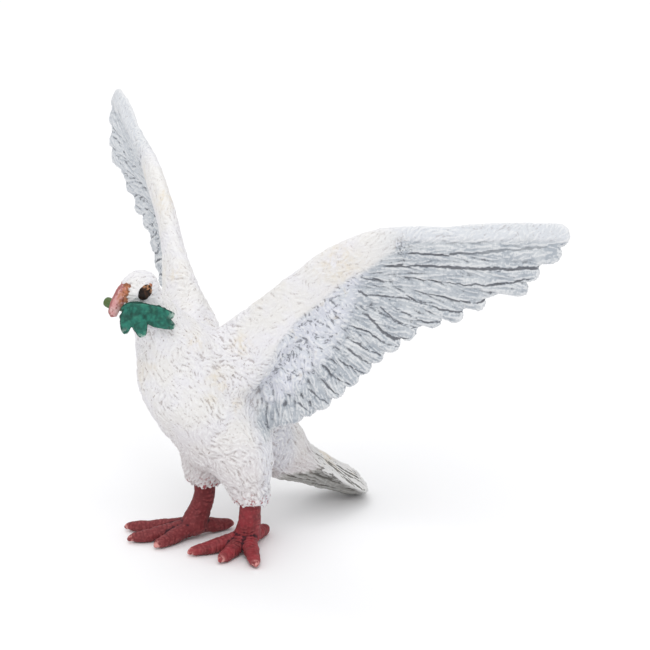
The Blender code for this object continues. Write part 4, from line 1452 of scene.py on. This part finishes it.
def plumage_paint(look):
    """White body, blue-grey feathers with dark paint in the grooves, a few warm patches, and painted shade
    low on the body and under the tail.
    """
    material, n, shader = new_material("painted_plumage")
    feathers = n.value_of("feathers")
    covert = n.value_of("covert")
    tail = n.value_of("tail")
    arm = n.value_of("arm")
    under = n.value_of("under")
    ridge = n.value_of("ridge")
    streaks = n.value_of("streaks")
    long_ones = n.maths("SUBTRACT", feathers, covert, clamp=True)
    fine = n.noise(2600.0, 3.0, 0.55)
    # fine brush strokes along the vanes of the long feathers
    along = n.times(n.value_of("vane_u"), 0.42)
    across = n.times(n.value_of("vane_v"), 4.2)
    vane_strokes = n.noise(1.0, 3.0, 0.6, n.out("ShaderNodeCombineXYZ", {"X": along, "Y": across}), 0.5)
    scratch = n.out("ShaderNodeGroup", node_tree=scratches_group())
    hair = n.mix(0.5, n.value_of("strokes"), n.scaled(n.minus(scratch, 0.5), 2.4, 0.5, clamp=True))
    hair = n.mix(long_ones, hair, n.scaled(vane_strokes, 0.6, n.times(streaks, 0.4)))
    hair = n.mix(n.times(tail, 0.7), hair, streaks)
    # whites: a little warmer or cooler from place to place, with a few worn cream patches
    loose = n.times(n.patches(130.0, 0.60, 0.76), 0.35)
    spots = n.times(n.value_of("cream"), n.patches(900.0, 0.30, 0.75, 3.0, 0.55))
    white = n.mix(n.patches(180.0, 0.40, 0.62, 4.0, 0.55), look.plumage_white, look.plumage_cool)
    white = n.mix(n.larger(loose, n.times(spots, 0.8)), white, look.plumage_cream)
    # painted shade: the white turns greyer low on the body
    white = n.mix(n.times(n.value_of("low"), 0.9), white, look.plumage_shade_low)
    white = n.mix(n.times(n.value_of("lead"), 0.85), white, look.lead_blue)
    white = n.mix(n.times(n.value_of("flank"), 0.65), white, look.covert_lilac)
    grey = n.mix(n.patches(420.0, 0.35, 0.68, 5.0, 0.6), look.feather_grey, look.feather_light)
    grey = n.mix(n.times(n.value_of("pale"), 0.6), grey, look.lead_blue)
    lilac = n.mix(n.patches(380.0, 0.42, 0.70, 4.0, 0.6), look.covert_lilac, look.lead_blue)
    lilac = n.mix(n.times(n.patches(420.0, 0.58, 0.72, 3.0, 0.6), 0.4), lilac, look.plumage_cream)
    base = n.mix(feathers, white, n.mix(covert, grey, lilac))
    base = n.mix(n.times(tail, 0.8), base, look.tail_grey)
    worn_tail = n.times(tail, n.patches(260.0, 0.52, 0.68, 3.0, 0.6))
    base = n.mix(n.times(worn_tail, 0.55), base, look.plumage_cream)
    # painted shade: dark grey under the tail
    tail_shade_share = n.times(under, n.patches(330.0, 0.12, 0.40, 4.0, 0.6))
    base = n.mix(n.times(tail_shade_share, 0.95), base, look.tail_shade_dark)
    # where the wash lies
    low = n.larger(n.times(n.value_of("groove"), 1.25), n.times(n.value_of("hollow"), 0.7))
    low = n.plus(low, n.times(n.minus(0.40, ridge), 0.8))
    low = n.plus(low, n.times(n.minus(0.41, hair), n.scaled(long_ones, -0.9, 2.7)))
    low = n.times(low, n.scaled(n.value_of("root"), -0.30, 1.0))
    tail_lines = n.times(n.minus(0.50, streaks), n.times(tail, 2.2))
    low = n.plus(low, n.larger(tail_lines, 0.0))
    ragged = n.times(n.value_of("ragged"), n.ramp(fine, 0.52, 0.42))
    low = n.larger(low, n.times(ragged, 0.85))
    wash = n.mix(tail, n.mix(feathers, look.body_wash, look.groove_dark), look.tail_wash)
    strength = n.mix(feathers, 0.55, 0.85)
    for part, other in ((arm, 0.40), (covert, 0.68), (tail, 0.85)):
        strength = n.mix(part, strength, other)
    # less white drybrush under the tail, part of the painted shade there
    catch = n.scaled(under, -0.3, 0.5)
    made = brushed(n, base, wash, look.drybrush_white, low, ridge, strength, catch, 3200.0)
    coat = made["Color"]
    # brown specks that sit in the strokes, thick in some places and absent in others
    speck = n.times(n.ramp(scratch, 0.40, 0.33), n.patches(1500.0, 0.53, 0.60, 2.0))
    speck = n.times(speck, n.patches(160.0, 0.38, 0.54, 2.0))
    speck = n.times(speck, n.scaled(n.larger(feathers, arm), -0.55, 0.6))
    coat = n.mix(speck, coat, look.speck_brown)
    coat = n.mix(n.times(n.value_of("crescent"), n.ramp(fine, 0.40, 0.55)), coat, look.covert_lilac)
    patch = n.plus(n.value_of("rust"), n.times(n.minus(fine, 0.5), 1.2))
    rust = n.mix(n.ramp(fine, 0.44, 0.60), look.beak_orange, look.rust_brown)
    coat = n.mix(n.ramp(patch, 0.40, 0.62), coat, rust)
    spill = n.times(n.value_of("hem"), n.patches(1700.0, 0.57, 0.63, 2.0))
    coat = n.mix(spill, coat, look.leg_red)
    relief = n.scaled(hair, 1.6, n.times(made["Height"], 0.3))
    finish_surface(n, shader, coat, made["Roughness"], relief, 0.00006, 0.35)
    return material


def leg_paint(look):
    material, n, shader = new_material("painted_legs")
    ridge = n.value_of("ridge")
    base = n.mix(n.patches(500.0, 0.35, 0.7, 4.0, 0.6), look.leg_red, look.leg_brown)
    # painted shade: the right leg is made browner and darker
    base = n.mix(n.times(n.value_of("dusky"), 0.80), base, look.leg_brown)
    # painted highlight: pale pink on the claw tips
    base = n.mix(n.times(n.value_of("tip"), n.patches(1500.0, 0.4, 0.6)), base, look.claw_highlight_pink)
    low = n.larger(n.times(n.minus(0.42, ridge), 1.8), 0.0)
    low = n.plus(n.value_of("hollow"), low)
    made = brushed(n, base, look.leg_wash, look.leg_light, low, ridge, 0.90, 0.35, 2400.0)
    finish_surface(n, shader, made["Color"], made["Roughness"], made["Height"], 0.00006, 0.25)
    return material


def beak_paint(look):
    material, n, shader = new_material("painted_beak")
    base = n.mix(n.patches(900.0, 0.4, 0.62, 4.0, 0.6), look.beak_pink, look.beak_pale)
    base = n.mix(n.times(n.value_of("cheek"), n.patches(1300.0, 0.35, 0.55)), base, look.beak_orange)
    blots = n.times(n.patches(1200.0, 0.50, 0.62, 3.0, 0.6), 0.7)
    low = n.scaled(n.value_of("rim"), 0.9, blots, clamp=True)
    made = brushed(n, base, look.beak_red, look.beak_pale, low, n.value_of("ridge"), 0.75, 0.3, 2200.0)
    finish_surface(n, shader, made["Color"], made["Roughness"], made["Height"], 0.00004)
    return material


def eye_paint(look):
    material, n, shader = new_material("painted_eye")
    base = n.mix(n.patches(1400.0, 0.45, 0.7), look.eye_black, look.eye_brown)
    base = n.mix(n.times(n.value_of("rim"), n.patches(1800.0, 0.46, 0.62)), base, look.eye_rust)
    rough = n.scaled(n.noise(2500.0), 0.3, 0.20)
    finish_surface(n, shader, base, rough, n.noise(3000.0), 0.00003, 0.15)
    shader.inputs["Coat Weight"].default_value = 0.08
    shader.inputs["Coat Roughness"].default_value = 0.2
    return material


def leaf_paint(look):
    material, n, shader = new_material("painted_leaves")
    base = n.mix(n.patches(700.0, 0.35, 0.65, 4.0, 0.6), look.leaf_green, look.leaf_teal)
    base = n.mix(n.value_of("stem"), base, look.stem_olive)
    low = n.plus(n.value_of("hollow"), n.times(n.value_of("edge"), 1.2))
    made = brushed(n, base, look.leaf_dark, look.leaf_light, low, n.value_of("ridge"), 0.95, 0.25, 1500.0)
    worn = n.times(n.value_of("worn"), n.patches(1600.0, 0.42, 0.54, 2.0))
    coat = n.mix(worn, made["Color"], look.leaf_pale)
    finish_surface(n, shader, coat, made["Roughness"], made["Height"], 0.00005, 0.35)
    return material


def floor_paint(look):
    material, n, shader = new_material("pale_floor")
    n.put(shader.inputs["Base Color"], look.floor_white)
    shader.inputs["Roughness"].default_value = 0.9
    return material


def colour(name, note_text, value):
    return bpy.props.FloatVectorProperty(name=name, description=note_text, subtype="COLOR", size=3, min=0.0,
                                         max=1.0, default=value)


def length(name, note_text, value, least, most):
    return bpy.props.FloatProperty(name=name, description=note_text, unit="LENGTH", default=value, min=least,
                                   max=most)


class DoveSizes(bpy.types.PropertyGroup):
    """Sizes of the carving."""

    skin_grain: length("Skin grain", "Fineness of the carved skin", 0.00018, 0.00012, 0.001)
    detail_grain: length("Detail grain", "Fineness of the legs, beak and sprig", 0.00011, 0.00006, 0.001)
    stroke_depth: length("Stroke depth", "Depth of the carved plumage strokes", 0.00011, 0.0, 0.0004)
    barb_depth: length("Barb depth", "Depth of the barbs of the long feathers", 0.00007, 0.0, 0.0004)
    scute_depth: length("Scute depth", "Depth of the rings on the legs and toes", 0.00009, 0.0, 0.0004)


class DoveLook(bpy.types.PropertyGroup):
    """Colours of the paint."""

    plumage_white: colour("Plumage white", "White coat of the body", (0.765, 0.75, 0.735))
    plumage_cool: colour("Plumage cool", "Cooler white of the breast", (0.76, 0.75, 0.78))
    plumage_shade_low: colour("Plumage low", "Greyer white low on the body", (0.63, 0.595, 0.60))
    # painted shade: the greyer white low on the body
    plumage_cream: colour("Plumage cream", "Warm patches in the white", (0.72, 0.63, 0.48))
    drybrush_white: colour("Drybrush white", "White caught by the ridges", (0.85, 0.85, 0.85))
    body_wash: colour("Body wash", "Brown-grey that lies in the carved strokes", (0.36, 0.31, 0.30))
    speck_brown: colour("Speck brown", "Small dark specks in the strokes", (0.20, 0.14, 0.11))
    feather_grey: colour("Feather grey", "Blue-grey of the long feathers", (0.38, 0.415, 0.46))
    feather_light: colour("Feather light", "Paler blue-grey of the long feathers", (0.58, 0.605, 0.63))
    lead_blue: colour("Lead blue", "Pale blue of the wings' outer leading edges", (0.62, 0.65, 0.69))
    covert_lilac: colour("Covert lilac", "Lilac grey of the small feathers", (0.64, 0.655, 0.72))
    groove_dark: colour("Groove dark", "Blue-black in the grooves between feathers", (0.10, 0.103, 0.12))
    tail_grey: colour("Tail grey", "Grey of the tail", (0.72, 0.72, 0.71))
    # painted shade under the tail
    tail_shade_dark: colour("Tail dark", "Dark grey under the tail", (0.28, 0.275, 0.26))
    tail_wash: colour("Tail wash", "Dark streaks on the tail", (0.11, 0.105, 0.095))
    leg_red: colour("Leg red", "Brick red of the legs", (0.275, 0.032, 0.041))
    # this browner red is also the painted shade on the right leg
    leg_brown: colour("Leg brown", "Browner red of the legs", (0.14, 0.022, 0.025))
    leg_wash: colour("Leg wash", "Dark purple-brown between the scutes", (0.035, 0.006, 0.012))
    leg_light: colour("Leg light", "Worn ridges of the legs", (0.40, 0.10, 0.10))
    # a painted highlight on the toe tips
    claw_highlight_pink: colour("Claw pink", "Pale worn tips of the toes", (0.75, 0.36, 0.33))
    beak_pink: colour("Beak pink", "Pink of the beak", (0.60, 0.27, 0.27))
    beak_pale: colour("Beak pale", "Paler pink of the beak", (0.70, 0.44, 0.43))
    beak_red: colour("Beak red", "Dark red edge of the beak", (0.26, 0.05, 0.04))
    beak_orange: colour("Beak orange", "Rough orange patch beside the beak", (0.47, 0.17, 0.085))
    rust_brown: colour("Rust brown", "Darker brown in the patches by beak and eye", (0.22, 0.09, 0.045))
    eye_black: colour("Eye black", "Brown-black of the eye", (0.010, 0.006, 0.005))
    eye_brown: colour("Eye brown", "Brown edge of the eye", (0.06, 0.025, 0.012))
    eye_rust: colour("Eye rust", "Orange-brown smear at the back of the eye", (0.42, 0.20, 0.10))
    leaf_green: colour("Leaf green", "Green of the leaves", (0.004, 0.062, 0.045))
    leaf_teal: colour("Leaf teal", "Bluer green of the leaves", (0.016, 0.172, 0.125))
    leaf_dark: colour("Leaf dark", "Dark green in the hollows of the leaves", (0.002, 0.045, 0.032))
    leaf_light: colour("Leaf light", "Worn tips of the leaves", (0.07, 0.36, 0.23))
    leaf_pale: colour("Leaf pale", "Bare pale spots at the tips of the leaves", (0.55, 0.66, 0.60))
    stem_olive: colour("Stem olive", "Olive green of the cut stem", (0.085, 0.125, 0.035))
    floor_white: colour("Floor white", "Pale floor", (0.93, 0.93, 0.94))


def settings():
    """Sizes of the carving in design units, and the colours."""
    scene = bpy.context.scene
    names = scene.dove_sizes.__annotations__
    return {name: getattr(scene.dove_sizes, name) / MILLIMETRE for name in names}, scene.dove_look


class DOVE_OT_plumage(bpy.types.Operator):
    """Carve and paint the body, the wings and the tail."""

    bl_idname = "dove.plumage"
    bl_label = "Plumage"

    def execute(self, context):
        sizes, look = settings()
        mesh = plumage_skin(sizes["skin_grain"])
        carve_plumage(mesh, sizes["stroke_depth"], sizes["barb_depth"])
        normals = read_normals(mesh)
        centres = read_rows(mesh.polygons, "center")
        x, y, z = centres.T
        p, q, n = wing_place(centres)
        wing = (p > 12.0) & (q > 17.5) & (np.abs(n) < 5.5)
        high = ~wing & (z > 32.0)
        rear = ~wing & ~high & (y > 6.0)
        paint = plumage_paint(look)
        for name, keep in (("neck_and_head", high), ("rump_and_tail", rear),
                           ("breast_and_thighs", ~wing & ~high & ~rear),
                           ("left_wing", wing & (x > 0)), ("right_wing", wing & (x < 0))):
            dress(cut_out(name, mesh, keep, normals), paint, "painted_white")
        bpy.data.meshes.remove(mesh)
        return {"FINISHED"}


class DOVE_OT_legs(bpy.types.Operator):
    """Model and paint both legs with their toes."""

    bl_idname = "dove.legs"
    bl_label = "Legs"

    def execute(self, context):
        sizes, look = settings()
        paint = leg_paint(look)
        for name, leg in (("left_leg", LEGS[0]), ("right_leg", LEGS[1])):
            mesh = fused(leg_clay(leg), sizes["detail_grain"] * 1.3, 3)
            carve_leg(mesh, leg, sizes["scute_depth"])
            finished(name, mesh, paint, "painted_white")
        return {"FINISHED"}


class DOVE_OT_beak(bpy.types.Operator):
    """Model and paint the open beak."""

    bl_idname = "dove.beak"
    bl_label = "Beak"

    def execute(self, context):
        sizes, look = settings()
        mesh = fused(beak_clay(), sizes["detail_grain"], 4)
        carve_beak(mesh)
        finished("beak", mesh, beak_paint(look), "painted_white")
        return {"FINISHED"}


class DOVE_OT_eyes(bpy.types.Operator):
    """Model and paint the two eyes."""

    bl_idname = "dove.eyes"
    bl_label = "Eyes"

    def execute(self, context):
        look = settings()[1]
        forward, left, up = head_axes()
        clay = Clay()
        for side in (1, -1):
            out = unit(left * side + forward * 0.15)
            spot = in_head(EYE[0], (EYE[1] + 0.06) * side, EYE[2])
            tall = unit(up * 0.82 - forward * 0.57)
            clay.ball(spot, (out, tall, np.cross(out, tall)), (0.60, 1.42, 1.02), 20)
        mesh = fused(clay, EYE_VOXEL, 3)
        carve_eyes(mesh)
        finished("eyes", mesh, eye_paint(look), "painted_white")
        return {"FINISHED"}


class DOVE_OT_sprig(bpy.types.Operator):
    """Model and paint the sprig in the beak."""

    bl_idname = "dove.sprig"
    bl_label = "Sprig"

    def execute(self, context):
        sizes, look = settings()
        mesh = fused(sprig_clay(), sizes["detail_grain"] * 0.9, 2)
        carve_sprig(mesh)
        finished("sprig", mesh, leaf_paint(look), "painted_green")
        return {"FINISHED"}


def look_along(thing, back):
    """Turn a camera or lamp so that it looks against the way back."""
    thing.rotation_euler = back.to_track_quat("Z", "Y").to_euler()


class DOVE_OT_stage(bpy.types.Operator):
    """Set the floor, the soft lights and the camera."""

    bl_idname = "dove.stage"
    bl_label = "Stage"

    def execute(self, context):
        look = settings()[1]
        scene = bpy.context.scene
        plane = bpy.data.meshes.new("floor")
        corners = [(x * FLOOR_HALF, y * FLOOR_HALF, 0) for x, y in ((-1, -1), (1, -1), (1, 1), (-1, 1))]
        plane.from_pydata(corners, [], [(0, 1, 2, 3)])
        floor = in_scene("floor", plane)
        plane.materials.append(floor_paint(look))
        target = mathutils.Vector((CAMERA_TARGET - MIDDLE) * MILLIMETRE)
        turn = math.radians(CAMERA_AZIMUTH)
        rise = math.radians(CAMERA_ELEVATION)
        level = math.cos(rise)
        back = mathutils.Vector((math.sin(turn) * level, -math.cos(turn) * level, math.sin(rise)))
        lens = bpy.data.cameras.new("camera")
        lens.lens = CAMERA_LENS
        lens.sensor_width = 36.0
        lens.clip_start = 0.01
        camera = in_scene("camera", lens)
        camera.location = target + back * CAMERA_DISTANCE
        look_along(camera, back)
        scene.camera = camera
        scene.view_settings.view_transform = "Standard"
        world = bpy.data.worlds.new("soft_white")
        scene.world = world
        world.use_nodes = True
        sky = world.node_tree.nodes["Background"].inputs
        sky["Color"].default_value = (1.0, 1.0, 1.0, 1.0)
        sky["Strength"].default_value = WORLD_STRENGTH
        for name, place, strength, soft in LAMPS:
            lamp = bpy.data.lights.new(name, "SUN")
            lamp.energy = strength
            lamp.angle = math.radians(soft)
            light = in_scene(name, lamp)
            light.location = place
            look_along(light, light.location)
        return {"FINISHED"}


class DOVE_PT_panel(bpy.types.Panel):
    """Sizes, colours and pieces of the dove."""

    bl_idname = "DOVE_PT_panel"
    bl_label = "Dove Figurine"
    bl_space_type = "VIEW_3D"
    bl_region_type = "UI"
    bl_category = "Dove"

    def draw(self, context):
        for group in (context.scene.dove_sizes, context.scene.dove_look):
            box = self.layout.box()
            for name in group.__annotations__:
                box.prop(group, name)
        for operator in PIECES:
            self.layout.operator(operator.bl_idname)


PIECES = (DOVE_OT_plumage, DOVE_OT_legs, DOVE_OT_beak, DOVE_OT_eyes, DOVE_OT_sprig, DOVE_OT_stage)
CLASSES = (DoveSizes, DoveLook, *PIECES, DOVE_PT_panel)


def register():
    for kind in CLASSES:
        bpy.utils.register_class(kind)
    bpy.types.Scene.dove_sizes = bpy.props.PointerProperty(type=DoveSizes)
    bpy.types.Scene.dove_look = bpy.props.PointerProperty(type=DoveLook)


def unregister():
    del bpy.types.Scene.dove_look
    del bpy.types.Scene.dove_sizes
    for kind in reversed(CLASSES):
        bpy.utils.unregister_class(kind)


def main():
    register()
    bpy.ops.dove.stage()
    bpy.ops.dove.plumage()
    bpy.ops.dove.legs()
    bpy.ops.dove.beak()
    bpy.ops.dove.eyes()
    bpy.ops.dove.sprig()


if __name__ == "__main__":
    main()
